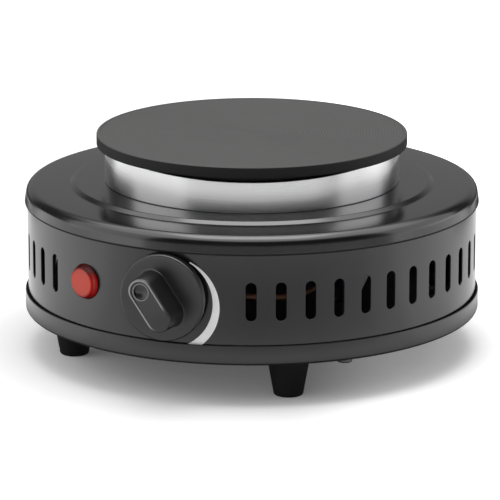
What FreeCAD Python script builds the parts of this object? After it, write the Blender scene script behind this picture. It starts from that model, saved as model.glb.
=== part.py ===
import FreeCAD, Part
import math
import os
import re

import Sketcher

# A single electric hot plate: a cast iron plate on a bright collar, on a round slotted body with four feet.
# Millimetres and degrees. The body's axis is Z, the floor is Z = 0, and the knob faces -Y.
# An azimuth is counted from -Y towards +X.

Vector = FreeCAD.Vector

SIZES = {
    # heights, from the floor up
    "foot_height": 20.2,
    "body_height": 64.3,
    "platform_rise": 1.7,
    "collar_height": 18.1,
    "plate_edge_height": 5.7,
    # cast iron plate
    "plate_diameter": 155,
    "plate_edge_round": 0.8,
    "plate_overhang": 3.9,
    "plate_body_gap": 2.3,
    "plate_body_depth": 11.5,
    "plate_top_thickness": 6.5,
    "plate_skirt": 4.5,
    "channel_width": 18,
    "channel_ridge": 4,
    "filler_depth": 8,
    "coil_diameter": 5,
    "coil_sweep": 340,
    "cover_sheet": 0.6,
    "cover_inset": 2.5,
    # what holds the plate down
    "stud_diameter": 6,
    "stud_engagement": 6,
    "stud_tail": 5,
    "stud_hole_gap": 0.3,
    "washer_diameter": 16,
    "washer_thickness": 1.6,
    "nut_across_flats": 10,
    "nut_height": 5,
    "bridge_width": 24,
    "bridge_sheet": 2,
    "bridge_foot": 14,
    "bridge_drop": 9.4,
    "bridge_leg_run": 12,
    "shield_gap": 6,
    "shield_sheet": 0.5,
    "shield_rise": 6,
    "shield_lip": 3,
    "shield_flat_diameter": 50,
    "shield_notch_width": 30,
    "shield_notch_depth": 18,
    # heater terminals
    "terminal_angle": 60,
    "terminal_step": 8,
    "pin_diameter": 2.4,
    "pin_tail": 10,
    "pin_cap": 0.3,
    "bead_diameter": 6,
    "bead_length": 8,
    # collar and pans
    "collar_sheet": 0.8,
    "collar_flange": 4,
    "pan_sheet": 0.8,
    "pan_gap": 0.3,
    "pan_skirt_height": 8.6,
    "pan_corner_round": 2.5,
    "pan_hole_margin": 1.6,
    "platform_margin": 14.9,
    "platform_step_run": 2.5,
    "platform_step_round": 1.2,
    "base_sheet": 0.8,
    "base_gap": 0.6,
    "base_flange_height": 11.55,
    "base_corner_round": 4,
    "vent_count": 6,
    "vent_length": 22,
    "vent_width": 5,
    "vent_circle_radius": 50,
    # side wall and its slots
    "wall_diameter": 224.6,
    "wall_sheet": 0.8,
    "slot_width": 5.2,
    "slot_height": 18.9,
    "slot_centre_height": 52.45,
    "slot_pitch": 7.3469,
    "right_slot_start": 21.3,
    "right_slot_count": 21,
    "left_slot_start": 37.3,
    "left_slot_count": 19,
    # feet
    "foot_angle": 32.75,
    "foot_inset": 21.7,
    "foot_top_diameter": 20,
    "foot_bottom_diameter": 14,
    "foot_edge_round": 1.6,
    "foot_pad": 8,
    "foot_counterbore": 8.4,
    "screw_diameter": 4,
    "screw_hole_gap": 0.3,
    "screw_head_diameter": 7.6,
    "screw_head_height": 2.4,
    "screw_head_round": 0.8,
    "foot_screw_tail": 1.5,
    "foot_nut_across_flats": 7,
    "foot_nut_height": 3.2,
    # tie brackets between the base and the top pan
    "tie_sheet": 1.2,
    "tie_bend": 2.4,
    "tie_strip_width": 9.2,
    "tie_gusset_reach": 9.5,
    "tie_gusset_height": 21,
    "tie_gusset_slope": 9,
    "tie_flange": 15,
    "tie_screw_inset": 7.5,
    "tie_screw_tail": 3,
    # thermostat behind the knob
    "control_height": 53.7,
    "bracket_width": 28,
    "bracket_top": 10,
    "bracket_bottom": 25,
    "bracket_sheet": 1.5,
    "fixing_spread": 22,
    "bush_diameter": 10,
    "bush_length": 5.5,
    "shaft_diameter": 6,
    "shaft_flat": 2,
    "shaft_running_gap": 0.05,
    "shaft_tip_gap": 0.35,
    "shaft_hole_diameter": 9,
    "stack_offset": 16,
    "stack_diameter": 14,
    "first_insulator": 6,
    "second_insulator": 4,
    "third_insulator": 3,
    "fourth_insulator": 2.5,
    "rivet_diameter": 4.4,
    "rivet_head_diameter": 7,
    "rivet_head_height": 0.55,
    "blade_sheet": 0.4,
    "blade_width": 7,
    "blade_reach": 14,
    "blade_tail": 13,
    "fixed_blade_tail": 8,
    "tab_length": 8.5,
    "tab_width": 6.3,
    "bimetal_sheet": 0.8,
    "bimetal_width": 10,
    "bimetal_reach": 18,
    "contact_diameter": 4,
    "contact_height": 1.4,
    "contact_position": 10.5,
    "push_pin_diameter": 2.4,
    "push_pin_gap": 0.3,
    "push_pin_position": 5.5,
    # knob
    "knob_rest_turn": 35,
    "knob_diameter": 42.6,
    "knob_skirt_height": 3.5,
    "knob_wall_gap": 2,
    "knob_skin": 1.8,
    "knob_edge_round": 0.8,
    "knob_hub_diameter": 11,
    "knob_hub_gap": 0.9,
    "grip_length": 30,
    "grip_width": 14.2,
    "grip_height": 15.2,
    "grip_draft": 3.4,
    "grip_edge_round": 0.7,
    "grip_lip": 1.1,
    "grip_ramp_turn": 2,
    "pointer_diameter": 7.6,
    "pointer_ring": 0.6,
    "pointer_position": 7.6,
    "pointer_depth": 1.4,
    "shaft_in_knob": 11,
    "clip_width": 3,
    "clip_sheet": 0.5,
    "clip_length": 9,
    "clip_gap": 0.03,
    # signal lamp
    "lamp_angle": -24.1,
    "lens_base_diameter": 17.8,
    "lens_face_diameter": 14.8,
    "lens_height": 3.1,
    "lens_edge_round": 0.9,
    "barrel_diameter": 11.8,
    "barrel_wall": 1.3,
    "barrel_length": 14,
    "barrel_gap": 0.3,
    "lens_skin": 1.6,
    "lamp_clip_diameter": 19,
    "lamp_clip_sheet": 0.4,
    "holder_wall": 1.1,
    "holder_grip": 5.5,
    "holder_floor": 5,
    "bulb_diameter": 6,
    "bulb_length": 15,
    "bulb_seat": 3.5,
    # cord gland at the back
    "gland_angle": 180,
    "gland_height": 45,
    "gland_bore": 7.2,
    "gland_neck_diameter": 15,
    "gland_flange_diameter": 20,
    "gland_flange_height": 3.2,
    "gland_inner_flange_diameter": 18,
    "gland_inner_length": 5,
    "gland_edge_round": 1.2,
    # terminal block on the base
    "block_back_inset": 24,
    "block_width": 32,
    "block_depth": 18,
    "block_height": 14,
    "block_chamfer": 2,
    "port_diameter": 6,
    "port_pitch": 9.6,
    "port_height": 7,
    "clamp_screw_diameter": 4.8,
    "clamp_screw_inset": 0.5,
    "block_lug": 9,
    "block_lug_height": 3,
    "earth_screw_x": 36,
    "earth_screw_y": 56,
    "earth_screw_stand": 2.8,
    # leads
    "lead_diameter": 2.6,
    "lamp_lead_diameter": 1.8,
    "lead_entry": 4,
    # common fits
    "seat_gap": 0.02,
    "fit_gap": 0.02,
}

# Levels, radii and depths that follow from the driving sizes.
DERIVED = {
    "base_floor": "foot_height + base_sheet",
    "flange_top": "foot_height + base_flange_height",
    "pan_top": "foot_height + body_height",
    "pan_under": "pan_top - pan_sheet",
    "platform_top": "pan_top + platform_rise",
    "platform_under": "platform_top - pan_sheet",
    "rim_under": "platform_top + collar_height",
    "plate_top": "rim_under + plate_edge_height",
    "plate_bottom": "rim_under - plate_body_depth",
    "channel_top": "plate_top - plate_top_thickness",
    "filler_bottom": "channel_top - filler_depth",
    "wall_outer": "wall_diameter / 2",
    "wall_inner": "wall_outer - wall_sheet",
    "pan_outer": "wall_outer + pan_gap + pan_sheet",
    "base_outer": "wall_outer + base_gap + base_sheet",
    "pan_curl": "pan_corner_round - pan_sheet",
    "base_curl": "base_corner_round - base_sheet",
    "wall_foot": "foot_height + base_corner_round - sqrt(base_curl^2 - (base_curl - base_gap)^2) + seat_gap",
    "wall_head": "pan_top - pan_corner_round + sqrt(pan_curl^2 - (pan_curl - pan_gap)^2) - seat_gap",
    "plate_radius": "plate_diameter / 2",
    "collar_outer": "plate_radius - plate_overhang",
    "collar_inner": "collar_outer - collar_sheet",
    "plate_body": "collar_inner - plate_body_gap",
    "pan_hole": "collar_outer - collar_flange - pan_hole_margin",
    "platform_edge": "collar_outer + platform_margin",
    "outer_channel_far": "plate_body - plate_skirt",
    "outer_channel_near": "outer_channel_far - channel_width",
    "inner_channel_far": "outer_channel_near - channel_ridge",
    "inner_channel_near": "inner_channel_far - channel_width",
    "outer_coil_radius": "outer_channel_far - channel_width / 2",
    "inner_coil_radius": "inner_channel_far - channel_width / 2",
    "coil_level": "channel_top - filler_depth / 2",
    "pin_top": "coil_level - coil_diameter / 2 - pin_cap",
    "cover_radius": "plate_body - cover_inset",
    "bridge_top": "platform_under - bridge_drop",
    "bridge_under": "bridge_top - bridge_sheet",
    "bridge_reach": "pan_hole + bridge_foot",
    "bridge_knee": "pan_hole - bridge_leg_run",
    "nut_top": "bridge_under - washer_thickness",
    "nut_under": "nut_top - nut_height",
    "stud_bottom": "nut_under - stud_tail",
    "shield_radius": "pan_hole - shield_gap",
    "pin_bottom": "plate_bottom - pin_tail",
    "foot_circle": "wall_outer - foot_inset",
    "foot_ceiling": "foot_height - foot_pad",
    "tie_face": "sqrt(wall_inner^2 - tie_gusset_reach^2) - seat_gap",
    "tie_screw_circle": "tie_face - tie_screw_inset",
    "screw_radius": "screw_diameter / 2",
    "screw_hole": "screw_radius + screw_hole_gap",
    "bracket_front": "sqrt(wall_inner^2 - (bracket_width / 2)^2) - seat_gap",
    "bracket_back": "bracket_front - bracket_sheet",
    "moving_front": "bracket_back - first_insulator",
    "moving_back": "moving_front - blade_sheet",
    "fixed_front": "moving_back - second_insulator",
    "fixed_back": "fixed_front - blade_sheet",
    "bimetal_front": "fixed_back - third_insulator",
    "bimetal_back": "bimetal_front - bimetal_sheet",
    "stack_back": "bimetal_back - fourth_insulator",
    "tail_end": "stack_offset + blade_tail",
    "knob_back": "wall_outer + knob_wall_gap",
    "knob_front": "knob_back + knob_skirt_height",
    "grip_front": "knob_front + grip_height",
    "knob_bore": "shaft_diameter / 2 + fit_gap",
    "shaft_end": "knob_front + shaft_in_knob",
    "shaft_tip": "moving_front + shaft_tip_gap",
    "lens_seat": "wall_outer + seat_gap",
    "barrel_radius": "barrel_diameter / 2",
    "barrel_back": "lens_seat - barrel_length",
    "holder_bore": "barrel_radius + fit_gap",
    "holder_back": "barrel_back - fit_gap - holder_floor",
    "clip_front": "sqrt(wall_inner^2 - (lamp_clip_diameter / 2)^2) - seat_gap",
    "bulb_back": "barrel_back - fit_gap - bulb_seat",
    "gland_groove": "sqrt(wall_inner^2 - (gland_inner_flange_diameter / 2)^2) - seat_gap",
    "gland_hole": "gland_neck_diameter / 2 + fit_gap",
    "block_back": "wall_inner - block_back_inset",
    "block_front": "block_back - block_depth",
    "block_top": "base_floor + block_height",
    "port_level": "base_floor + port_height",
}

FOOT_COUNT = 4
FOOT_STEP = 90
PIN_COUNT = 3

# The tie brackets stand behind the strips of wall between two slots.
TIE_ANGLES = [
    "right_slot_start + 3.5 * slot_pitch",
    "right_slot_start + 15.5 * slot_pitch",
    "-left_slot_start - 13.5 * slot_pitch",
    "-left_slot_start - 0.5 * slot_pitch",
]

doc = FreeCAD.newDocument("HotPlate")
sheet = doc.addObject("Spreadsheet::Sheet", "Sizes")
for row, (alias, size) in enumerate(SIZES.items(), start=1):
    sheet.set(f"A{row}", alias)
    sheet.set(f"B{row}", str(size))
    sheet.setAlias(f"B{row}", alias)
doc.recompute()

WORD = re.compile(r"[a-z][a-z_]*[a-z]")
parts = []


def cells(formula):
    """Spell a formula of size names out in the cells of the sheet."""
    def spell(match):
        word = match.group(0)
        if word in SIZES:
            return "Sizes." + word
        if word in DERIVED:
            return "(" + cells(DERIVED[word]) + ")"
        return word
    return WORD.sub(spell, str(formula))


def value(formula):
    """The number that a formula of size names has now."""
    return float(sheet.evalExpression(cells(formula)))


def new_body(label):
    """An empty body that becomes one node."""
    body = doc.addObject("PartDesign::Body", label)
    body.Label = label
    parts.append(body)
    return body


def origin_item(body, role):
    """A plane or an axis of the body's own origin."""
    return [item for item in body.Origin.OriginFeatures if item.Role == role][0]


def new_sketch(body, plane, lift="0", turn="0", axis="0;1;0"):
    """A sketch on an origin plane, lifted along its normal and turned about one of its own axes."""
    sketch = body.newObject("Sketcher::SketchObject", body.Label + "_sketch")
    sketch.AttachmentSupport = [(origin_item(body, plane), "")]
    sketch.MapMode = "FlatFace"
    place = f"placement(vector(0; 0; {cells(lift)}); rotation(vector({axis}); {cells(turn)}))"
    sketch.setExpression("AttachmentOffset", place)
    return sketch


def tie_point(sketch, item, end, x, y):
    """Hold one point of a sketch at the place that two formulas give."""
    for kind, formula in (("DistanceX", x), ("DistanceY", y)):
        number = sketch.addConstraint(Sketcher.Constraint(kind, -1, 1, item, end, value(formula)))
        sketch.setExpression(f"Constraints[{number}]", cells(formula))


def tie_radius(sketch, item, radius):
    """Give an arc or a circle of a sketch the radius that a formula gives."""
    number = sketch.addConstraint(Sketcher.Constraint("Radius", item, value(radius)))
    sketch.setExpression(f"Constraints[{number}]", cells(radius))


def outline(sketch, corners):
    """Draw a closed outline. A corner is (x, y), or (x, y, radius) where it is rounded."""
    count = len(corners)
    points = [Vector(value(corner[0]), value(corner[1]), 0) for corner in corners]
    arrive, leave, arcs = list(points), list(points), {}
    for here, corner in enumerate(corners):
        if len(corner) == 2:
            continue
        back = (points[here - 1] - points[here]).normalize()
        ahead = (points[(here + 1) % count] - points[here]).normalize()
        half = back.getAngle(ahead) / 2
        radius = value(corner[2])
        arrive[here] = points[here] + back * (radius / math.tan(half))
        leave[here] = points[here] + ahead * (radius / math.tan(half))
        centre = points[here] + (back + ahead).normalize() * (radius / math.sin(half))
        left_turn = back.cross(ahead).z < 0
        first, last = (arrive[here], leave[here]) if left_turn else (leave[here], arrive[here])
        angles = [math.atan2((end - centre).y, (end - centre).x) for end in (first, last)]
        circle = Part.Circle(centre, Vector(0, 0, 1), radius)
        arcs[here] = (Part.ArcOfCircle(circle, *angles), left_turn)
    lines = []
    for here in range(count):
        ahead = (here + 1) % count
        lines.append(sketch.addGeometry(Part.LineSegment(leave[here], arrive[ahead]), False))
    for here, corner in enumerate(corners):
        before, after = lines[here - 1], lines[here]
        if len(corner) == 2:
            sketch.addConstraint(Sketcher.Constraint("Coincident", before, 2, after, 1))
            tie_point(sketch, after, 1, corner[0], corner[1])
            continue
        curve, left_turn = arcs[here]
        arc = sketch.addGeometry(curve, False)
        point = sketch.addGeometry(Part.Point(points[here]), True)
        tie_point(sketch, point, 1, corner[0], corner[1])
        sketch.addConstraint(Sketcher.Constraint("PointOnObject", point, 1, before))
        sketch.addConstraint(Sketcher.Constraint("PointOnObject", point, 1, after))
        sketch.addConstraint(Sketcher.Constraint("Tangent", before, 2, arc, 1 if left_turn else 2))
        sketch.addConstraint(Sketcher.Constraint("Tangent", after, 1, arc, 2 if left_turn else 1))
        tie_radius(sketch, arc, corner[2])


def rectangle(sketch, left, right, low, high):
    """Draw an upright rectangle between four formulas."""
    outline(sketch, [(left, low), (right, low), (right, high), (left, high)])


def circle(sketch, x, y, radius):
    """Draw a circle."""
    ring = Part.Circle(Vector(value(x), value(y), 0), Vector(0, 0, 1), value(radius))
    item = sketch.addGeometry(ring, False)
    tie_point(sketch, item, 3, x, y)
    tie_radius(sketch, item, radius)


def obround(sketch, x, y, length, width):
    """Draw a slot with round ends, its length upright."""
    radius = f"({width}) / 2"
    reach = f"(({length}) - ({width})) / 2"
    right, left = Vector(value(radius), 0, 0), Vector(-value(radius), 0, 0)
    ends = []
    for sign, start in ((1, 0), (-1, math.pi)):
        level = f"({y}) + {sign} * {reach}"
        centre = Vector(value(x), value(level), 0)
        ring = Part.Circle(centre, Vector(0, 0, 1), value(radius))
        item = sketch.addGeometry(Part.ArcOfCircle(ring, start, start + math.pi), False)
        tie_point(sketch, item, 3, x, level)
        tie_radius(sketch, item, radius)
        ends.append((item, centre))
    (top, high), (bottom, low) = ends
    down = sketch.addGeometry(Part.LineSegment(high + left, low + left), False)
    up = sketch.addGeometry(Part.LineSegment(low + right, high + right), False)
    meetings = ((down, 1, top, 2), (down, 2, bottom, 1), (up, 1, bottom, 2), (up, 2, top, 1))
    for line, line_end, arc, arc_end in meetings:
        sketch.addConstraint(Sketcher.Constraint("Tangent", line, line_end, arc, arc_end))


def hexagon(sketch, across_flats, x="0", y="0"):
    """Draw a hexagon about a point."""
    corner = f"({across_flats}) / sqrt(3)"
    corners = []
    for angle in range(0, 360, 60):
        corners.append((f"{x} + {corner} * cos({angle})", f"{y} + {corner} * sin({angle})"))
    outline(sketch, corners)


def revolve(body, sketch, sweep="360", axis="V_Axis"):
    """Turn a sketch about its own upright axis."""
    feature = body.newObject("PartDesign::Revolution", body.Label + "_turned")
    feature.Profile = sketch
    feature.ReferenceAxis = (sketch, [axis])
    feature.setExpression("Angle", cells(sweep))
    return feature


def turned(label, corners, sweep="360"):
    """A body turned about Z from an outline of radius and height."""
    body = new_body(label)
    sketch = new_sketch(body, "XZ_Plane")
    outline(sketch, corners)
    revolve(body, sketch, sweep)
    return body


def extrude(body, kind, sketch, length=None, backwards=False, both=False):
    """Pad or pocket a sketch by a length, or right through where none is given."""
    feature = body.newObject("PartDesign::" + kind, body.Label + "_" + kind.lower())
    feature.Profile = sketch
    feature.Reversed = backwards
    feature.SideType = "Symmetric" if both else "One side"
    if length is None:
        feature.Type = "ThroughAll"
    else:
        feature.setExpression("Length", cells(length))
    return feature


def ring_of(body, feature, count, step):
    """Repeat a feature about Z, a step of angle apart."""
    pattern = body.newObject("PartDesign::PolarPattern", body.Label + "_ring")
    pattern.Originals = [feature]
    pattern.Axis = (origin_item(body, "Z_Axis"), [""])
    pattern.setExpression("Angle", f"({cells(step)}) * ({cells(count)} - 1)")
    pattern.setExpression("Occurrences", cells(count))
    body.Tip = pattern
    return pattern


def face_outwards(body, azimuth="0", turn="0", height="control_height"):
    """Lay a body's own Z along the radius at an azimuth, with its own Y up."""
    swing = f"rotation(vector(0; 0; 1); {cells(azimuth)})"
    lay = "rotation(vector(1; 0; 0); 90)"
    spin = f"rotation(vector(0; 0; 1); {cells(turn)})"
    body.setExpression("Placement", f"placement(vector(0; 0; {cells(height)}); {swing} * {lay} * {spin})")


def swing_to(body, azimuth):
    """Turn a body that was drawn at azimuth 0 to its own azimuth."""
    swing = f"rotation(vector(0; 0; 1); {cells(azimuth)})"
    body.setExpression("Placement", f"placement(vector(0; 0; 0); {swing})")


def stand_at(body, x, y):
    """Move a body that was drawn on the axis to a place of its own."""
    place = f"placement(vector({cells(x)}; {cells(y)}; 0); rotation(vector(0; 0; 1); 0))"
    body.setExpression("Placement", place)


def flat_piece(label, draw, back, thickness):
    """A sheet piece of the controls: a drawn outline between two depths along the radius."""
    body = new_body(label)
    sketch = new_sketch(body, "XY_Plane", lift=back)
    draw(sketch)
    extrude(body, "Pad", sketch, thickness)
    face_outwards(body)
    return body


def screw_outline(seat, tip, head_radius="screw_head_diameter / 2", up=True):
    """Half outline of a round headed screw: its head lies below the seat when it points up."""
    crown = f"({seat}) - screw_head_height" if up else f"({seat}) + screw_head_height"
    return [
        ("0", crown),
        (head_radius, crown, "screw_head_round"),
        (head_radius, seat),
        ("screw_radius", seat),
        ("screw_radius", tip),
        ("0", tip),
    ]


def shifted(corners, offset):
    """Move a half outline sideways, to turn it about an axis of its own."""
    return [(f"({corner[0]}) + {offset}",) + tuple(corner[1:]) for corner in corners]


def own_axis(sketch, offset):
    """Add the upright construction line that a shifted outline is turned about."""
    low, high = Vector(value(offset), 0, 0), Vector(value(offset), 1, 0)
    line = sketch.addGeometry(Part.LineSegment(low, high), True)
    sketch.addConstraint(Sketcher.Constraint("Vertical", line))
    tie_point(sketch, line, 1, offset, "0")
    number = sketch.addConstraint(Sketcher.Constraint("DistanceY", line, 1, line, 2, 1))
    sketch.setExpression(f"Constraints[{number}]", "1")


def turned_aside(body, corners, offset, azimuth):
    """Turn a half outline about an upright axis that stands off Z at an azimuth."""
    sketch = new_sketch(body, "XZ_Plane", turn=f"{azimuth} - 90")
    outline(sketch, shifted(corners, offset))
    own_axis(sketch, offset)
    return revolve(body, sketch, axis="Axis0")


def turned_ring(label, corners, offset, count, step, azimuth):
    """Equal turned pieces on a circle about Z, the first at an azimuth."""
    body = new_body(label)
    ring_of(body, turned_aside(body, corners, offset, azimuth), count, step)


def hole_ring(body, circle_radius, radius, count, step, turn, lift, backwards=False):
    """Drill equal upright holes on a circle about Z."""
    sketch = new_sketch(body, "XY_Plane", lift=lift)
    circle(sketch, f"{circle_radius} * sin({turn})", f"-{circle_radius} * cos({turn})", radius)
    ring_of(body, extrude(body, "Pocket", sketch, backwards=backwards), count, step)


def make_base_pan():
    """Pressed base pan: a floor, a round corner and an upright flange, with vents and screw holes."""
    edge = "base_outer - base_sheet"
    body = turned("base_pan", [
        ("0", "foot_height"),
        ("base_outer", "foot_height", "base_corner_round"),
        ("base_outer", "flange_top"),
        (edge, "flange_top"),
        (edge, "base_floor", "base_curl"),
        ("0", "base_floor"),
    ])
    hole_ring(body, "foot_circle", "screw_hole", FOOT_COUNT, FOOT_STEP, "foot_angle", "flange_top")
    vent = new_sketch(body, "XY_Plane", lift="flange_top")
    obround(vent, "0", "-vent_circle_radius", "vent_length", "vent_width")
    ring_of(body, extrude(body, "Pocket", vent), "vent_count", "360 / vent_count")
    single = new_sketch(body, "XY_Plane", lift="flange_top")
    for azimuth in TIE_ANGLES:
        x, y = f"tie_screw_circle * sin({azimuth})", f"-tie_screw_circle * cos({azimuth})"
        circle(single, x, y, "screw_hole")
    for side in (-1, 1):
        lug_x = f"{side} * (block_width + block_lug) / 2"
        circle(single, lug_x, "block_back - block_depth / 2", "screw_hole")
    circle(single, "earth_screw_x", "earth_screw_y", "screw_hole")
    extrude(body, "Pocket", single)


def make_side_wall():
    """Rolled side wall with its upright vent slots and the holes of the controls and the cord gland."""
    body = turned("side_wall", [
        ("wall_inner", "wall_foot"),
        ("wall_outer", "wall_foot"),
        ("wall_outer", "wall_head"),
        ("wall_inner", "wall_head"),
    ])
    for start, count, leftwards in (
        ("right_slot_start", "right_slot_count", False),
        ("-left_slot_start", "left_slot_count", True),
    ):
        slot = new_sketch(body, "XZ_Plane", turn=start)
        obround(slot, "0", "slot_centre_height", "slot_height", "slot_width")
        cut = extrude(body, "Pocket", slot, backwards=True)
        row = ring_of(body, cut, count, "slot_pitch")
        row.Reversed = leftwards
    control = new_sketch(body, "XZ_Plane")
    circle(control, "0", "control_height", "shaft_hole_diameter / 2")
    for side in (-1, 1):
        circle(control, f"{side} * fixing_spread / 2", "control_height", "screw_hole")
    extrude(body, "Pocket", control, backwards=True)
    for azimuth, height, radius in (
        ("lamp_angle", "control_height", "barrel_radius + barrel_gap"),
        ("gland_angle", "gland_height", "gland_hole"),
    ):
        hole = new_sketch(body, "XZ_Plane", turn=azimuth)
        circle(hole, "0", height, radius)
        extrude(body, "Pocket", hole, backwards=True)


def make_top_pan():
    """Top pan: a raised platform round the plate, a step down, and a skirt over the wall."""
    low = "platform_edge + platform_step_run"
    turned("top_pan", [
        ("pan_hole", "platform_under"),
        ("platform_edge", "platform_under", "platform_step_round"),
        (low, "pan_under", "platform_step_round"),
        ("pan_outer - pan_sheet", "pan_under", "pan_curl"),
        ("pan_outer - pan_sheet", "pan_top - pan_skirt_height"),
        ("pan_outer", "pan_top - pan_skirt_height"),
        ("pan_outer", "pan_top", "pan_corner_round"),
        (low, "pan_top", "platform_step_round"),
        ("platform_edge", "platform_top", "platform_step_round"),
        ("pan_hole", "platform_top"),
    ])


def make_collar():
    """Bright collar ring with a foot turned inwards, between the platform and the plate's rim."""
    turned("collar_ring", [
        ("collar_outer - collar_flange", "platform_top"),
        ("collar_outer", "platform_top", "collar_sheet * 1.5"),
        ("collar_outer", "rim_under"),
        ("collar_inner", "rim_under"),
        ("collar_inner", "platform_top + collar_sheet", "collar_sheet / 2"),
        ("collar_outer - collar_flange", "platform_top + collar_sheet"),
    ])


def make_plate():
    """Cast iron plate: a flat top with a thick rim, and two coil channels round a boss below."""
    stud_pocket = "plate_bottom + stud_engagement"
    turned("hot_plate", [
        ("0", "plate_top"),
        ("0", stud_pocket),
        ("stud_diameter / 2 + fit_gap", stud_pocket),
        ("stud_diameter / 2 + fit_gap", "plate_bottom"),
        ("inner_channel_near", "plate_bottom"),
        ("inner_channel_near", "channel_top"),
        ("inner_channel_far", "channel_top"),
        ("inner_channel_far", "plate_bottom"),
        ("outer_channel_near", "plate_bottom"),
        ("outer_channel_near", "channel_top"),
        ("outer_channel_far", "channel_top"),
        ("outer_channel_far", "plate_bottom"),
        ("plate_body", "plate_bottom"),
        ("plate_body", "rim_under"),
        ("plate_radius", "rim_under"),
        ("plate_radius", "plate_top", "plate_edge_round"),
    ])


def make_heaters():
    """The two heating coils, each in its ceramic filler in a channel of the plate."""
    for name in ("outer", "inner"):
        near, far = f"{name}_channel_near + fit_gap", f"{name}_channel_far - fit_gap"
        middle = f"{name}_coil_radius"
        filler = turned(f"ceramic_filler_{name}", [
            (near, "filler_bottom"),
            (far, "filler_bottom"),
            (far, "channel_top"),
            (near, "channel_top"),
        ])
        hollow = new_sketch(filler, "XZ_Plane", turn="terminal_angle - 90")
        circle(hollow, middle, "coil_level", "coil_diameter / 2 + fit_gap")
        groove = filler.newObject("PartDesign::Groove", f"ceramic_filler_{name}_groove")
        groove.Profile = hollow
        groove.ReferenceAxis = (hollow, ["V_Axis"])
        groove.setExpression("Angle", cells("coil_sweep"))
        coil = new_body(f"heating_coil_{name}")
        winding = new_sketch(coil, "XZ_Plane", turn="terminal_angle - 90")
        circle(winding, middle, "coil_level", "coil_diameter / 2")
        revolve(coil, winding, "coil_sweep")
        if name == "outer":
            hole_ring(filler, middle, "pin_diameter / 2 + fit_gap", PIN_COUNT, "terminal_step",
                      "terminal_angle - terminal_step", "pin_top")


def make_plate_mounting():
    """Bottom cover, stud, washer, nut, clamp bridge and heat shield below the plate."""
    cover_under = "plate_bottom - cover_sheet"
    stud_hole = "stud_diameter / 2 + stud_hole_gap"
    cover = turned("plate_cover", [
        (stud_hole, cover_under),
        ("cover_radius", cover_under),
        ("cover_radius", "plate_bottom"),
        (stud_hole, "plate_bottom"),
    ])
    hole_ring(cover, "outer_coil_radius", "bead_diameter / 2", PIN_COUNT, "terminal_step",
              "terminal_angle - terminal_step", "plate_bottom")
    turned("centre_stud", [
        ("0", "stud_bottom"),
        ("stud_diameter / 2", "stud_bottom"),
        ("stud_diameter / 2", "plate_bottom + stud_engagement"),
        ("0", "plate_bottom + stud_engagement"),
    ])
    turned("stud_washer", [
        (stud_hole, "nut_top"),
        ("washer_diameter / 2", "nut_top"),
        ("washer_diameter / 2", "bridge_under"),
        (stud_hole, "bridge_under"),
    ])
    nut = new_body("stud_nut")
    flats = new_sketch(nut, "XY_Plane", lift="nut_under")
    hexagon(flats, "nut_across_flats")
    circle(flats, "0", "0", "stud_diameter / 2 + fit_gap")
    extrude(nut, "Pad", flats, "nut_height")

    bridge = new_body("clamp_bridge")
    side = new_sketch(bridge, "XZ_Plane")
    foot_under = "platform_under - bridge_sheet"
    outline(side, [
        ("-bridge_reach", foot_under),
        ("-pan_hole", foot_under, "bridge_sheet"),
        ("-bridge_knee", "bridge_under", "bridge_sheet"),
        ("bridge_knee", "bridge_under", "bridge_sheet"),
        ("pan_hole", foot_under, "bridge_sheet"),
        ("bridge_reach", foot_under),
        ("bridge_reach", "platform_under"),
        ("pan_hole", "platform_under", "bridge_sheet"),
        ("bridge_knee", "bridge_top", "bridge_sheet"),
        ("-bridge_knee", "bridge_top", "bridge_sheet"),
        ("-pan_hole", "platform_under", "bridge_sheet"),
        ("-bridge_reach", "platform_under"),
    ])
    extrude(bridge, "Pad", side, "bridge_width", both=True)
    hole = new_sketch(bridge, "XY_Plane", lift="platform_under")
    circle(hole, "0", "0", stud_hole)
    extrude(bridge, "Pocket", hole)

    dish_rim = "bridge_top + shield_rise"
    flat_edge = "shield_flat_diameter / 2"
    shield = turned("heat_shield", [
        (stud_hole, "bridge_top"),
        (flat_edge, "bridge_top", "shield_rise"),
        ("shield_radius", dish_rim, "shield_lip / 2"),
        ("shield_radius", f"{dish_rim} + shield_lip"),
        ("shield_radius - shield_sheet", f"{dish_rim} + shield_lip"),
        ("shield_radius - shield_sheet", f"{dish_rim} + shield_sheet", "shield_lip / 2 - shield_sheet"),
        (flat_edge, "bridge_top + shield_sheet", "shield_rise"),
        (stud_hole, "bridge_top + shield_sheet"),
    ])
    notch = new_sketch(shield, "XY_Plane", lift="rim_under", turn="terminal_angle", axis="0;0;1")
    half = "shield_notch_width / 2"
    rectangle(notch, f"-{half}", half, "-shield_radius - shield_lip", "-shield_radius + shield_notch_depth")
    extrude(shield, "Pocket", notch)


def make_terminals():
    """Heater terminal pins and the ceramic beads that lead them through the cover."""
    first = "terminal_angle - terminal_step"
    turned_ring("terminal_pins", [
        ("0", "pin_bottom"),
        ("pin_diameter / 2", "pin_bottom"),
        ("pin_diameter / 2", "pin_top"),
        ("0", "pin_top"),
    ], "outer_coil_radius", PIN_COUNT, "terminal_step", first)
    bore = "pin_diameter / 2 + fit_gap"
    bead_radius = "bead_diameter / 2 - fit_gap"
    turned_ring("terminal_beads", [
        (bore, "filler_bottom - bead_length"),
        (bead_radius, "filler_bottom - bead_length", "fit_gap * 10"),
        (bead_radius, "filler_bottom"),
        (bore, "filler_bottom"),
    ], "outer_coil_radius", PIN_COUNT, "terminal_step", first)


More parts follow.
